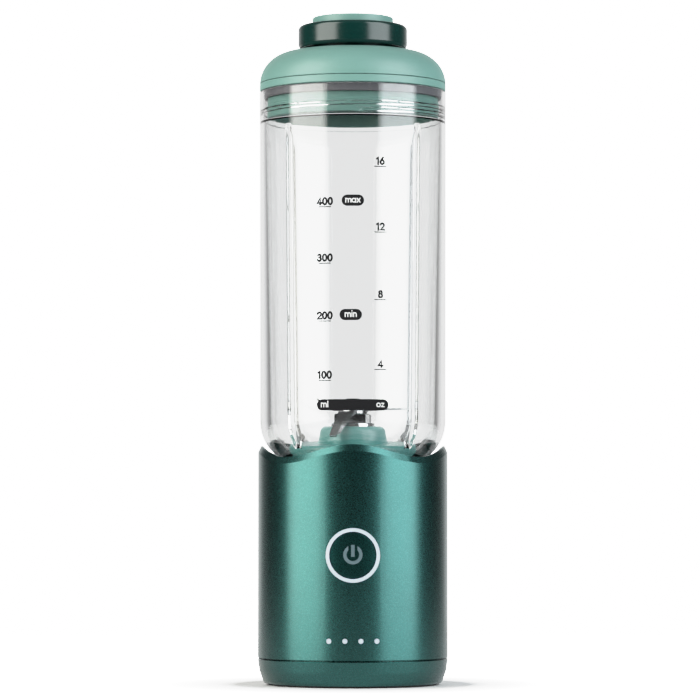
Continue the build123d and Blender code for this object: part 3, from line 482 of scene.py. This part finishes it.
def near_ribs():
    """Column angles, close together at each rib and at the ends of each lug."""
    steps = (0, 0.7, 1.3, 1.7, 2.05, 2.4, 2.8, 3.3, 4, 5.2, 6.8, 8.6, 10.4, 11.6, 12, 12.3, 13.2, 15)
    steps += tuple(17.5 + 2.5 * step for step in range(11))
    angles = set()
    for middle in RIB_ANGLES:
        angles |= {round((middle + side * step) % 360, 3) for step in steps for side in (-1, 1)}
        angles.add((middle + 45) % 360)
    return sorted(angles)


def from_rib(angle):
    """Signed degrees from the nearest rib."""
    return (angle - RIB_ANGLES[0] + 45) % 90 - 45


def rib(angle, r, z):
    """Height of the ribs inside the cup, with soft flanks and sloped ends."""
    across = abs(math.radians(from_rib(angle))) * r
    flank = ease((RIB_HALF_WIDTH + 0.45 - across) / 0.9)
    ends = min(ease((z - RIB_Z[0]) / 1.0), ease((RIB_Z[1] - z) / 7.0))
    return RIB_HEIGHT * flank * ends


def lug(angle, z):
    """Height of the locking lugs on the neck, with a ramp under one end."""
    from_middle = from_rib(angle)
    climb = (NECK_R + LUG_HEIGHT) * math.sin(math.radians(LUG_RAMP_START - from_middle))
    low = LUG_Z[0] + max(0, climb) * math.tan(math.radians(LUG_RAMP_TILT))
    side = ease((LUG_HALF_WIDTH + 0.05 - abs(from_middle)) / 0.4)
    return LUG_HEIGHT * side * min(ease((z - low) / 0.3), ease((LUG_Z[1] - z) / 0.3))


def cup_relief(angle, r, z):
    """Lugs outside, ribs and thread inside."""
    if z < SHOULDER_Z - SHOULDER_ARC and abs(r - NECK_R) < 0.1:
        return lug(angle, z)
    if z > COLLAR_Z + 0.3 and abs(r - COLLAR_R) < 0.1:
        return helix(angle, z, CUP_THREAD)
    if RIB_Z[0] < z < RIB_Z[1] and r < BORE_TOP_R and not outside_wall(r, z):
        return rib(angle, r, z)
    return 0


def outside_wall(r, z):
    """Whether a point of the outline is on the cup's outer surface."""
    if z < SHOULDER_Z:
        centre_r = CUP_SHOULDER_R - SHOULDER_ARC
        return math.hypot(r - centre_r, z - SHOULDER_Z) > SHOULDER_ARC - 0.5
    return r > CUP_SHOULDER_R - 0.5


def bore_at(z):
    """Inner radius of the cup at a height."""
    return BOWL_R + (BORE_TOP_R - BOWL_R) * (z - BOWL_Z) / (COLLAR_Z - BOWL_Z)


def cup_outline():
    """Wall from the neck up the outside, over the lip and down the inside."""
    centre = (CUP_SHOULDER_R - SHOULDER_ARC, SHOULDER_Z)
    neck_turn = math.degrees(math.acos((NECK_R - centre[0]) / SHOULDER_ARC))
    bowl = (BOWL_R - BOWL_ARC, BOWL_Z)
    bowl_turn = math.degrees(math.acos((NECK_BORE_R - bowl[0]) / BOWL_ARC))
    top, bottom = cup_high.z, cup_low.z
    wall_top = cup_high.x
    lip = LIP_ROUND
    edge = 0.3
    points = arc((NECK_R - edge, bottom + edge), edge, -90, 0, 3)
    points += line((NECK_R, LUG_Z[0] - 0.3), (NECK_R, LUG_Z[1] + 0.4), 28)
    points += [(NECK_R, LUG_Z[1] + 0.4), (NECK_R, LUG_Z[1] + 3)]
    points += arc(centre, SHOULDER_ARC, -neck_turn, 0, 16)
    points += line((CUP_SHOULDER_R, SHOULDER_Z), (wall_top, top - lip), 14)[1:]
    points += arc((wall_top - lip, top - lip), lip, 0, 90, 5)
    points += arc((COLLAR_R + lip, top - lip), lip, 90, 180, 5)
    points += line((COLLAR_R, top - 3.2), (COLLAR_R, COLLAR_Z + 0.4), 36)
    points += arc((COLLAR_R - 0.6, COLLAR_Z + 0.1), 0.6, 0, -40, 3)
    points += line((BORE_TOP_R, COLLAR_Z - 0.8), (bore_at(RIB_Z[1]), RIB_Z[1]), 3)
    points += line((bore_at(RIB_Z[1]), RIB_Z[1]), (bore_at(RIB_Z[1] - 8), RIB_Z[1] - 8), 12)
    points += line((bore_at(RIB_Z[1] - 8), RIB_Z[1] - 8), (BOWL_R, BOWL_Z), 16)
    points += arc(bowl, BOWL_ARC, 0, -bowl_turn, 22)
    points += line((NECK_BORE_R, 99), (NECK_BORE_R, bottom + 1), 3)
    points += arc((NECK_BORE_R + edge, bottom + edge), edge, 180, 270, 3)
    return points


cup_shape = lathe(cup_outline(), near_ribs(), cup_relief)
cup = piece("cup_clear", cup_shape, "cup", "clear", FINISHES["clear"], "cup")
cup.visible_shadow = False


# ---- The printed scale, a thin layer on the front of the cup ----
PRINT_LIFT = 0.02
PRINT_THICK = 0.03
LAYER_GAP = 0.01               # between the black and the white ink
ML_X = -12.0                   # middle of the millilitre numbers
OZ_X = 11.8
DIGIT_HEIGHT = 2.75
DIGIT_PEN = 0.84
WORD_HEIGHT = 2.3
WORD_PEN = 0.38
LETTER_GAP = 0.12              # share of the capital height
FIRST_LEVEL = (100, 131.2)     # millilitres and height
OUNCE = 29.57
ML_MARKS = (100, 200, 300, 400)
OUNCE_MARKS = (4, 8, 12, 16)
UNDERLINE = (5.4, 0.42, 0.1)   # width, height and rounding of the ends
UNDERLINE_DROP = 2.35          # below the middle of its number
PILL = (9.4, 4.7, 2.3)
PILL_MARKS = (("max", 400, 0.0), ("min", 200, -0.9))   # word, millilitres and x
PILL_RISE = 0.3                # above its level
PILL_WORD_RISE = 0.6
BAR = (30.8, 4.7, 2.3)
BAR_X = -0.1
BAR_DROP = 12.6                # below the first level
BAR_WORD_RISE = 0.3            # above the bar's middle
BAR_COLUMN = 0.8               # width of one column of a bar's mesh


def level(volume):
    """Height of a volume of liquid in millilitres."""
    filled, z = FIRST_LEVEL
    while filled < volume:
        step = min(1.0, volume - filled)
        z += step * 1000 / (math.pi * bore_at(z) ** 2)
        filled += step
    return z


def on_cup(x, z, lift):
    """Point above the front of the cup's outer wall, x millimetres round from its middle."""
    share = (z - SHOULDER_Z) / (cup_high.z - SHOULDER_Z)
    radius = CUP_SHOULDER_R + (cup_high.x - CUP_SHOULDER_R) * share + lift
    angle = x / radius
    return radius * math.sin(angle), -radius * math.cos(angle), z


def ribbon(points, width):
    """Closed slab along a path in x and z, as wide as a pen stroke.

    It is squared off half a width past the path's ends. A path that ends where it starts is a ring.
    """
    points = [Vector(point) for point in points]
    ring = (points[0] - points[-1]).length < 1e-6
    if ring:
        points.pop()
    else:
        points[0] -= (points[1] - points[0]).normalized() * width / 2
        points[-1] += (points[-1] - points[-2]).normalized() * width / 2
    count = len(points)
    vertices = []
    for index, point in enumerate(points):
        before = points[index - 1] if index or ring else point
        after = points[(index + 1) % count] if index < count - 1 or ring else point
        arriving, leaving = (point - before).normalized(), (after - point).normalized()
        along = (arriving + leaving).normalized()
        across = Vector((-along.y, along.x))
        sharpness = max(0.6, along.dot(leaving if index < count - 1 or ring else arriving))
        reach = across * width / 2 / sharpness
        for lift in (-PRINT_THICK / 2, PRINT_THICK / 2):
            vertices += [(*(point - reach), lift), (*(point + reach), lift)]
    faces = [] if ring else [(0, 1, 3, 2), tuple(4 * (count - 1) + corner for corner in (1, 0, 2, 3))]
    for index in range(count if ring else count - 1):
        a, b = 4 * index, 4 * ((index + 1) % count)
        faces += [(a, a + 1, b + 1, b), (a + 3, a + 2, b + 2, b + 3)]
        faces += [(a + 2, a, b, b + 2), (a + 1, a + 3, b + 3, b + 1)]
    return vertices, faces


def strokes(letter):
    """Width of a character and its pen strokes, for a capital height of 1."""
    low = 0.7                      # height of small letters
    bowl = arc((0.33, low / 2), low / 2 - 0.02, 0, 360, 20)
    hoop = arc((0.30, low - 0.26), 0.24, 180, 0, 8)
    return {
        "0": (0.74, [[(0.37 + 0.29 * x, 0.5 + 0.5 * y) for x, y in arc((0, 0), 1, 0, 360, 24)]]),
        "1": (0.46, [[(0.08, 0.84), (0.28, 0.99), (0.28, 0)]]),
        "2": (0.70, [arc((0.34, 0.70), 0.28, 165, -38, 12) + [(0.07, 0.01), (0.66, 0.01)]]),
        "3": (0.70, [arc((0.32, 0.76), 0.23, 155, -90, 12) + arc((0.32, 0.27), 0.27, 90, -155, 14)[1:]]),
        "4": (0.76, [[(0.70, 0.24), (0.04, 0.24), (0.50, 0.98), (0.50, 0)]]),
        "6": (0.72, [arc((0.35, 0.30), 0.29, 0, 360, 20), [(0.08, 0.42), (0.46, 1.0)]]),
        "8": (0.72, [arc((0.36, 0.76), 0.22, 0, 360, 18), arc((0.36, 0.27), 0.27, 0, 360, 20)]),
        "m": (1.08, [[(0.06, 0), (0.06, low)], hoop + [(0.54, 0)],
                     [(x + 0.48, y) for x, y in hoop] + [(1.02, 0)]]),
        "n": (0.60, [[(0.06, 0), (0.06, low)], hoop + [(0.54, 0)]]),
        "i": (0.22, [[(0.1, 0), (0.1, low)], [(0.1, low + 0.32), (0.1, low + 0.35)]]),
        "a": (0.78, [bowl, [(0.68, 0), (0.68, low)]]),
        "x": (0.62, [[(0.05, 0), (0.57, low)], [(0.05, low), (0.57, 0)]]),
        "l": (0.22, [[(0.1, 0), (0.1, 1.02)]]),
        "o": (0.70, [bowl]),
        "z": (0.62, [[(0.06, low - 0.04), (0.54, low - 0.04), (0.06, 0.04), (0.58, 0.04)]]),
    }[letter]


def words(text, height, pen):
    """Slabs of a word, centred on x, with their middle at half the capital height."""
    placed, x = [], 0
    for letter in text:
        width, paths = strokes(letter)
        placed += [[((px + x) * height, (py - 0.5) * height) for px, py in path] for path in paths]
        x += width + LETTER_GAP
    middle = (x - LETTER_GAP) * height / 2
    return [ribbon([(px - middle, py) for px, py in path], pen) for path in placed]


def flat_bar(width, height, round_end):
    """Closed slab with rounded ends, cut into columns so that it can follow the cup."""
    columns = max(6, round(width / BAR_COLUMN))
    steps = 6
    xs = [-width / 2 + round_end * (1 - math.cos(math.pi / 2 * step / steps)) for step in range(steps)]
    inner = width - 2 * round_end
    xs += [-inner / 2 + inner * step / columns for step in range(columns + 1)]
    xs += [-x for x in reversed(xs[:steps])]
    vertices = []
    for x in xs:
        over = max(0, abs(x) - (width / 2 - round_end))
        half = height / 2 - round_end + math.sqrt(max(0, round_end ** 2 - over ** 2))
        half = max(half, 0.02)
        for lift in (-PRINT_THICK / 2, PRINT_THICK / 2):
            vertices += [(x, -half, lift), (x, half, lift)]
    faces = [(0, 1, 3, 2)]
    for column in range(len(xs) - 1):
        a = 4 * column
        faces += [(a, a + 1, a + 5, a + 4), (a + 3, a + 2, a + 6, a + 7)]
        faces += [(a + 2, a, a + 4, a + 6), (a + 1, a + 3, a + 7, a + 5)]
    last = 4 * (len(xs) - 1)
    faces.append((last + 1, last, last + 2, last + 3))
    return vertices, faces


def printed(parts, layer):
    """Slabs laid on the cup; parts hold each slab and where its middle goes."""
    vertices, faces = [], []
    base = PRINT_LIFT + layer * (PRINT_THICK + LAYER_GAP)
    for (points, sides), x, z in parts:
        start = len(vertices)
        vertices += [on_cup(x + px, z + py, base + lift) for px, py, lift in points]
        faces += [tuple(start + corner for corner in side) for side in sides]
    return vertices, faces


def scale_marks():
    """Numbers, underlines, pills and the bottom bar of the printed scale."""
    black, white = [], []
    underline = flat_bar(*UNDERLINE)
    marks = [(str(volume), ML_X, level(volume)) for volume in ML_MARKS]
    marks += [(str(ounces), OZ_X, level(ounces * OUNCE)) for ounces in OUNCE_MARKS]
    for number, x, z in marks:
        black += [(slab, x, z) for slab in words(number, DIGIT_HEIGHT, DIGIT_PEN)]
        black.append((underline, x, z - UNDERLINE_DROP))
    for word, volume, x in PILL_MARKS:
        z = level(volume)
        black.append((flat_bar(*PILL), x, z + PILL_RISE))
        white += [(slab, x, z + PILL_WORD_RISE) for slab in words(word, WORD_HEIGHT, WORD_PEN)]
    bar_z = FIRST_LEVEL[1] - BAR_DROP
    black.append((flat_bar(*BAR), BAR_X, bar_z))
    for word, x in (("ml", ML_X), ("oz", OZ_X)):
        white += [(slab, x, bar_z + BAR_WORD_RISE) for slab in words(word, WORD_HEIGHT, WORD_PEN)]
    piece("scale_black", printed(black, 0), "cup", "black_plastic", FINISHES["print_black"])
    piece("scale_white", printed(white, 1), "cup", "white_acetal", FINISHES["print_white"])


scale_marks()


# ================================ The lid ================================
def lid_liner():
    """Lid body with a helical thread on its skirt and another on its spout."""
    low, high = span("lid_liner")
    flange_r, bottom, top = high.x, low.z, high.z
    flange_z = (span("cup")[1].z + 0.2, span("lid_dome")[0].z - 0.2)
    ceiling = flange_z[1] - 2
    outline = arc((SKIRT_R - 0.5, bottom + 0.5), 0.5, -90, 0, 4)
    outline += line((SKIRT_R, bottom + 0.6), (SKIRT_R, bottom + 8.2), 40)
    outline += [(SKIRT_R, flange_z[0] - 0.4)]
    outline += arc((SKIRT_R + 0.4, flange_z[0] - 0.4), 0.4, 180, 90, 3)
    outline += arc((flange_r - 0.5, flange_z[0] + 0.5), 0.5, -90, 0, 5)
    outline += arc((flange_r - 0.3, flange_z[1] - 0.3), 0.3, 0, 90, 4)
    outline += arc((SPOUT_R + 0.8, flange_z[1] + 0.8), 0.8, -90, -180, 4)
    outline += line((SPOUT_R, PLATEAU_Z + 0.8), (SPOUT_R, top - 0.8), 34)
    outline += arc((SPOUT_R - 0.7, top - 0.7), 0.7, 0, 90, 5)
    outline += arc((SPOUT_BORE_R + 0.7, top - 0.7), 0.7, 90, 180, 5)
    outline += arc((SPOUT_BORE_R + 1.2, ceiling + 1.2), 1.2, 180, 270, 6)
    outline += arc((SKIRT_BORE_R - 1.5, ceiling - 1.5), 1.5, 90, 0, 7)
    outline += arc((SKIRT_BORE_R + 0.4, bottom + 0.4), 0.4, 180, 270, 4)

    def relief(angle, r, z):
        if abs(r - SKIRT_R) < 0.05 and z < flange_z[0] - 1:
            return helix(angle, z, LID_THREAD, bottom)
        if abs(r - SPOUT_R) < 0.05 and z > PLATEAU_Z:
            return helix(angle, z, SPOUT_THREAD, PLATEAU_Z)
        return 0

    shape = lathe(outline, even_columns(FINE_COLUMNS), relief)
    piece("lid_body", shape, "lid", "sage", FINISHES["sage"], "lid_liner")


def lid_dome():
    """Rounded shell of the lid with a sunk flat round the spout."""
    seam = span("lid_dome")[0].z
    turn = 45                      # where the crown's arc takes over from the shoulder's
    seam_turn = 8
    centre = (span("lid_dome")[1].x - DOME_SHOULDER_ARC, DOME_ARC_Z)
    step_in = (DOME_SHOULDER_ARC - DOME_CROWN_ARC) * math.cos(math.radians(turn))
    crown = (centre[0] + step_in, centre[1] + step_in)
    lip_r = PLATEAU_R + 1.0
    under = PLATEAU_Z - DOME_WALL

    def angle_at_z(radius):
        return math.degrees(math.asin((seam - DOME_ARC_Z) / radius))

    def crown_end(radius, r):
        return math.degrees(math.acos((r - crown[0]) / radius))

    inner_shoulder = DOME_SHOULDER_ARC - DOME_WALL
    inner_crown = DOME_CROWN_ARC - DOME_WALL
    outline = arc(centre, DOME_SHOULDER_ARC, angle_at_z(DOME_SHOULDER_ARC) + 1, turn, 16)
    outline += arc(crown, DOME_CROWN_ARC, turn, crown_end(DOME_CROWN_ARC, lip_r + 0.3), 14)[1:]
    lip_z = crown[1] + math.sqrt(DOME_CROWN_ARC ** 2 - (lip_r - crown[0]) ** 2)
    outline += [(lip_r - 0.1, lip_z - 0.1), (lip_r - 0.35, lip_z - 0.45)]
    outline += arc((PLATEAU_R - 0.15, PLATEAU_Z + 0.45), 0.45, -25, -90, 4)
    outline += arc((CAP_HOLE_R + 0.25, PLATEAU_Z - 0.25), 0.25, 90, 180, 3)
    outline += [(CAP_HOLE_R, under), (PLATEAU_R - 0.6, under)]
    outline += arc(crown, inner_crown, crown_end(inner_crown, lip_r - 0.5), turn, 10)
    outline += arc(centre, inner_shoulder, turn, angle_at_z(inner_shoulder), 12)[1:]
    outline += [(centre[0] + DOME_SHOULDER_ARC * math.cos(math.radians(seam_turn)) - 0.02, seam)]
    shape = lathe(outline, even_columns(FINE_COLUMNS))
    piece("lid_shell", shape, "lid", "sage", FINISHES["sage"], "lid_dome")


def lid_gasket():
    """Silicone ring between the lid's skirt and the cup's collar."""
    low, high = span("lid_gasket")
    inner, outer = SKIRT_R + 0.2, high.x
    shape = lathe(rounded((inner, low.z, 0.3), (outer, low.z, 0.9), (outer, high.z, 0.2),
                          (inner, high.z, 0.2)))
    piece("lid_seal_ring", shape, "lid_seal", "grey_silicone", FINISHES["grey_silicone"], "lid_gasket")


lid_liner()
lid_dome()
lid_gasket()


# ================================ The cap ================================
def cap_band():
    """Deep band of the cap, polished, open underneath."""
    low, high = span("cap_band")
    insert_r = span("cap_insert")[1].x
    outer, inner = high.x, high.x - 2.2
    shelf_r = insert_r - 2.2       # the disc's seat goes in this far
    ceiling = high.z - 1.6
    outline = rounded((shelf_r, ceiling, 0.2), (inner, ceiling, 0.5), (inner, low.z + 0.4, 0.3),
                      (outer - 1.8, low.z, 0.3), (outer - 0.7, low.z, 0.6), (outer, low.z + 1.4, 1.2),
                      (outer, high.z, 1.9), (shelf_r, high.z, 0.2))
    shape = lathe(outline, even_columns(FINE_COLUMNS))
    piece("cap_ring", shape, "cap", "deep_green", FINISHES["deep_green"], "cap_band")


def cap_sleeve():
    """Threaded sleeve of the cap."""
    low, high = span("cap_sleeve")
    bore = SPOUT_R + 0.8
    sleeve_r = bore + 1.2
    shelf = high.z - 1.2
    outline = rounded((bore, low.z, 0.3), (sleeve_r, low.z, 0.4), (sleeve_r, shelf, 0.8),
                      (high.x, shelf, 0.3), (high.x, high.z, 0.3), (bore, high.z))
    outline += line((bore, high.z - 0.5), (bore, low.z + 0.6), 34)

    def relief(angle, r, z):
        if abs(r - bore) < 0.01 and low.z + 0.4 < z < high.z - 0.6:
            return helix(angle, z, CAP_THREAD, low.z)
        return 0

    shape = lathe(outline, even_columns(120), relief)
    piece("cap_thread", shape, "cap", "deep_green", FINISHES["deep_green"], "cap_sleeve")


def cap_insert():
    """Domed disc set into the top of the cap."""
    low, high = span("cap_insert")
    outer = high.x
    plug_r = outer - 2.3
    seat_z = span("cap_band")[1].z + 0.05
    edge_r, edge_z = outer - INSERT_EDGE, seat_z + INSERT_RISE
    rise = high.z - edge_z
    crown = (edge_r ** 2 + rise ** 2) / (2 * rise)
    half = math.degrees(math.asin(edge_r / crown))
    outline = [(0, low.z), (plug_r, low.z), (plug_r, seat_z)]
    outline += arc((outer - 0.2, seat_z + 0.2), 0.2, -90, 0, 3)
    outline += arc((edge_r, edge_z - INSERT_EDGE), INSERT_EDGE, 0, 80, 5)
    outline += arc((0, high.z - crown), crown, 90 - half + 1, 90, 16)
    outline[-1] = (0, high.z)
    piece("cap_disc", lathe(outline), "cap", "sage", FINISHES["sage"], "cap_insert")


cap_band()
cap_sleeve()
cap_insert()


# ================================ The blades ================================
BLADE_THICK = 1.0
BLADE_HALF_ROOT = 3.5
BLADE_CENTRE_R = 6.2
BEND_LENGTH = 2.4
GRIND_WIDTH = 1.7
EDGE_THICK = 0.18
ARM_TAPER = 2.4                # narrowing of the cutting side, from the bend to the tip's corner
BACK_TAPER = 0.6               # narrowing of the back
TIP_LENGTH = 2.5               # slanted end of an arm
TIP_BLUNT = 0.3                # width left at the very tip
GRIND_FROM = 0.86              # share of the middle disc's radius inside which nothing is ground
GRIND_MOST = 0.6               # share of an arm's cutting half that the grind may take
NO_GRIND = 0.01
BLADE_SHARP_ANGLE = 20.0
SHAFT_R = 2.5


def blade(name, node, turn, z_flat, arms):
    """Two-armed blade of bent sheet with a ground edge on each arm.

    Each arm is (radius of its bend, its length past the bend, its bend downwards in degrees).
    """
    def limits(reach, x):
        """Back and cutting side of an arm at a distance from the shaft."""
        tip = reach[0] + reach[1]
        back = -BLADE_HALF_ROOT + BACK_TAPER * max(0, x - reach[0]) / reach[1]
        slant = tip - TIP_LENGTH
        corner = BLADE_HALF_ROOT - ARM_TAPER
        if x <= reach[0]:
            front = BLADE_HALF_ROOT
        elif x <= slant:
            front = BLADE_HALF_ROOT - ARM_TAPER * (x - reach[0]) / (slant - reach[0])
        else:
            front = corner + (back + TIP_BLUNT - corner) * (x - slant) / TIP_LENGTH
        disc = math.sqrt(max(0, BLADE_CENTRE_R ** 2 - x * x))
        return min(back, -disc), max(front, disc)

    def bent(reach, x, height):
        """Distance out and height of a point of the sheet after bending."""
        bend_r, _, degrees = reach
        start = bend_r - BEND_LENGTH / 2
        if x <= start:
            return x, z_flat + height
        total = math.radians(degrees)
        radius = BEND_LENGTH / total
        part = min(x - start, BEND_LENGTH) / BEND_LENGTH * total
        beyond = max(0, x - start - BEND_LENGTH)
        middle = BLADE_THICK / 2
        off = height - middle
        out = start + (radius + off) * math.sin(part) + beyond * math.cos(part)
        drop = radius - (radius + off) * math.cos(part) + beyond * math.sin(part)
        return out, z_flat + middle - drop

    def stations(reach):
        """Distances from the shaft at which the arm has a row of points."""
        bend_r, length, _ = reach
        tip = bend_r + length
        xs = [SHAFT_R * math.sin(math.radians(a)) for a in range(0, 91, 15)]
        xs += [BLADE_CENTRE_R * math.sin(math.radians(a)) for a in range(30, 60, 6)]
        xs += [bend_r - BEND_LENGTH / 2 + BEND_LENGTH * step / 8 for step in range(9)]
        straight = length - BEND_LENGTH - TIP_LENGTH
        xs += [bend_r + BEND_LENGTH + straight * step / 6 for step in range(7)]
        xs += [tip - TIP_LENGTH * (1 - step / 4) for step in range(1, 5)]
        return sorted(set(round(x, 4) for x in xs))

    vertices, faces = [], []
    for side, reach in ((1, arms[0]), (-1, arms[1])):
        rows = []
        for x in stations(reach):
            back, front = limits(reach, x)
            hole = math.sqrt(max(0, SHAFT_R ** 2 - x * x)) if x < SHAFT_R else 0
            grind = NO_GRIND
            if x > BLADE_CENTRE_R * GRIND_FROM:
                grind = min(GRIND_WIDTH, (front - hole) * GRIND_MOST)
            edge = EDGE_THICK if grind > 2 * NO_GRIND else BLADE_THICK
            row = []
            for y, thick in ((back, BLADE_THICK), (-hole, BLADE_THICK), (hole, BLADE_THICK),
                             (front - grind, BLADE_THICK), (front, edge)):
                for height in (0, thick):
                    out, z = bent(reach, x, height)
                    row.append(len(vertices))
                    vertices.append((side * out, side * y, z))
            rows.append(row)
        for here, after in zip(rows, rows[1:]):
            hollow = vertices[here[2]][1] != vertices[here[4]][1]
            for a, b in ((0, 2), (4, 6), (6, 8)):
                faces.append((here[a], after[a], after[b], here[b]))
                faces.append((here[a + 1], here[b + 1], after[b + 1], after[a + 1]))
            if hollow:
                faces += [(here[2], here[3], after[3], after[2]), (here[5], here[4], after[4], after[5])]
            faces += [(here[0], here[1], after[1], after[0]), (here[8], after[8], after[9], here[9])]
        last = rows[-1]
        for a, b in ((0, 2), (4, 6), (6, 8)):
            faces.append((last[a], last[b], last[b + 1], last[a + 1]))
    cos, sin = math.cos(math.radians(turn)), math.sin(math.radians(turn))
    turned = [(x * cos - y * sin, x * sin + y * cos, z) for x, y, z in vertices]
    made = piece(name, (turned, faces), "rotor", "blade_steel", FINISHES["blade_steel"], node)
    joined = bmesh.new()
    joined.from_mesh(made.data)
    bmesh.ops.remove_doubles(joined, verts=joined.verts, dist=1e-6)
    bmesh.ops.recalc_face_normals(joined, faces=joined.faces)
    joined.to_mesh(made.data)
    joined.free()
    made.data.shade_smooth()
    made.data.set_sharp_from_angle(angle=math.radians(BLADE_SHARP_ANGLE))


blade("blade_bottom", "blade_lower", 71, 115.7, ((8.0, 15.0, -20), (8.0, 16.6, 38)))
blade("blade_top", "blade_upper", 0, 116.8, ((8.0, 15.9, -1.5), (9.0, 8.0, -36)))


# ================================ The studio ================================
def floor():
    """Plain pale table, with a painted glow that only the camera sees fading it to white away from the
    blender.
    """
    size = FLOOR_SIZE / 2
    corners = [(-size, -size, 0), (size, -size, 0), (size, size, 0), (-size, size, 0)]
    mesh = bpy.data.meshes.new("floor")
    mesh.from_pydata(corners, [], [(0, 1, 2, 3)])
    material, tree, shader, place = new_material("floor", 0.6, Emission_Color=(1, 1, 1, 1))
    patches = noise(tree, place, FLOOR_MOTTLE)
    pale = blended(tree, patches, (0.78, 0.78, 0.785), (0.80, 0.80, 0.80))
    tree.links.new(pale, shader.inputs["Base Color"])
    away = add(tree, "ShaderNodeVectorMath", Vector=place)
    away.operation = "LENGTH"
    # painted glow: emission seen only by camera rays, none near the blender and growing to white further
    # out
    glow = spread(tree, away.outputs["Value"], 0, WHITE, *FLOOR_PAINTED_GLOW)
    seen = add(tree, "ShaderNodeMath")
    seen.operation = "MULTIPLY"
    tree.links.new(glow, seen.inputs[0])
    tree.links.new(tree.nodes.new("ShaderNodeLightPath").outputs["Is Camera Ray"], seen.inputs[1])
    tree.links.new(seen.outputs[0], shader.inputs["Emission Strength"])
    mesh.materials.append(material)
    made = bpy.data.objects.new("floor", mesh)
    bpy.context.scene.collection.objects.link(made)


def softbox(side, power, tint):
    """Tall light at one side of the front, a little weaker towards its upright edges."""
    light = bpy.data.lights.new("softbox", "AREA")
    light.color = tint
    light.use_nodes = True
    tree = light.node_tree
    place = tree.nodes.new("ShaderNodeNewGeometry").outputs["Parametric"]
    across = add(tree, "ShaderNodeSeparateXYZ", Vector=place).outputs["X"]
    from_middle = add(tree, "ShaderNodeMath")
    from_middle.operation = "PINGPONG"
    tree.links.new(across, from_middle.inputs[0])
    from_middle.inputs[1].default_value = 0.5
    strength = spread(tree, from_middle.outputs[0], SOFTBOX_EDGE_LEVEL, 1, 0, SOFTBOX_EDGE)
    tree.links.new(strength, tree.nodes["Emission"].inputs["Strength"])
    light.shape = "RECTANGLE"
    light.size, light.size_y = SOFTBOX_SIZE
    light.energy = power
    made = bpy.data.objects.new("softbox", light)
    angle = math.radians(SOFTBOX_AZIMUTH) * side
    out = Vector((math.sin(angle), -math.cos(angle), 0)) * SOFTBOX_DISTANCE
    made.location = out + Vector((0, 0, SOFTBOX_HEIGHT))
    towards = Vector((0, 0, SOFTBOX_HEIGHT)) - made.location
    made.rotation_euler = towards.to_track_quat("-Z", "Y").to_euler()
    made.visible_camera = False
    bpy.context.scene.collection.objects.link(made)


def surroundings():
    """White to the camera; to everything else a bright wall behind and a dark room in front."""
    world = bpy.data.worlds.new("studio")
    bpy.context.scene.world = world
    world.use_nodes = True
    tree = world.node_tree
    tree.nodes.clear()
    place = tree.nodes.new("ShaderNodeTexCoord").outputs["Generated"]
    parts = add(tree, "ShaderNodeSeparateXYZ", Vector=place)
    wall = spread(tree, parts.outputs["Y"], 0, 1, -1, 1)
    ramp = add(tree, "ShaderNodeValToRGB", Fac=wall)
    while len(ramp.color_ramp.elements) < len(WALL_STOPS):
        ramp.color_ramp.elements.new(0.5)
    for element, (position, value) in zip(ramp.color_ramp.elements, WALL_STOPS):
        element.position = position
        element.color = (value, value, value, 1)
    ceiling = spread(tree, parts.outputs["Z"], 0, CEILING, *CEILING_FADE)
    total = add(tree, "ShaderNodeMath")
    total.operation = "ADD"
    tree.links.new(ramp.outputs["Color"], total.inputs[0])
    tree.links.new(ceiling, total.inputs[1])
    rays = tree.nodes.new("ShaderNodeLightPath")
    room = add(tree, "ShaderNodeBackground", Color=total.outputs[0], Strength=BACKGROUND)
    white = add(tree, "ShaderNodeBackground", Color=(1, 1, 1, 1), Strength=WHITE)
    mix = tree.nodes.new("ShaderNodeMixShader")
    tree.links.new(rays.outputs["Is Camera Ray"], mix.inputs[0])
    tree.links.new(room.outputs[0], mix.inputs[1])
    tree.links.new(white.outputs[0], mix.inputs[2])
    output = tree.nodes.new("ShaderNodeOutputWorld")
    tree.links.new(mix.outputs[0], output.inputs[0])


def camera():
    """Camera a little above the table, looking slightly up."""
    lens = bpy.data.cameras.new("camera")
    lens.lens = CAMERA_LENS
    lens.sensor_width = 36.0
    lens.clip_end = 100.0
    made = bpy.data.objects.new("camera", lens)
    made.location = CAMERA_AT
    made.rotation_euler = (math.radians(90 + CAMERA_TILT), 0, 0)
    bpy.context.scene.collection.objects.link(made)
    bpy.context.scene.camera = made


def film(settings):
    """Highlights that ease off towards white, as on film."""
    settings.use_curve_mapping = True
    mapping = settings.curve_mapping
    mapping.white_level = (WHITE, WHITE, WHITE)
    curve = mapping.curves[3]
    for radiance, shown in FILM_CURVE:
        curve.points.new(radiance / WHITE, shown)
    for point in curve.points:
        point.handle_type = "VECTOR"
    mapping.update()


floor()
for softbox_settings in SOFTBOXES:
    softbox(*softbox_settings)
surroundings()
camera()

scene = bpy.context.scene
scene.view_settings.view_transform = "Standard"
film(scene.view_settings)
scene.cycles.use_denoising = True
scene.cycles.max_bounces = 16
scene.cycles.transmission_bounces = 14
scene.cycles.transparent_max_bounces = 16
scene.cycles.caustics_reflective = False
scene.cycles.caustics_refractive = False
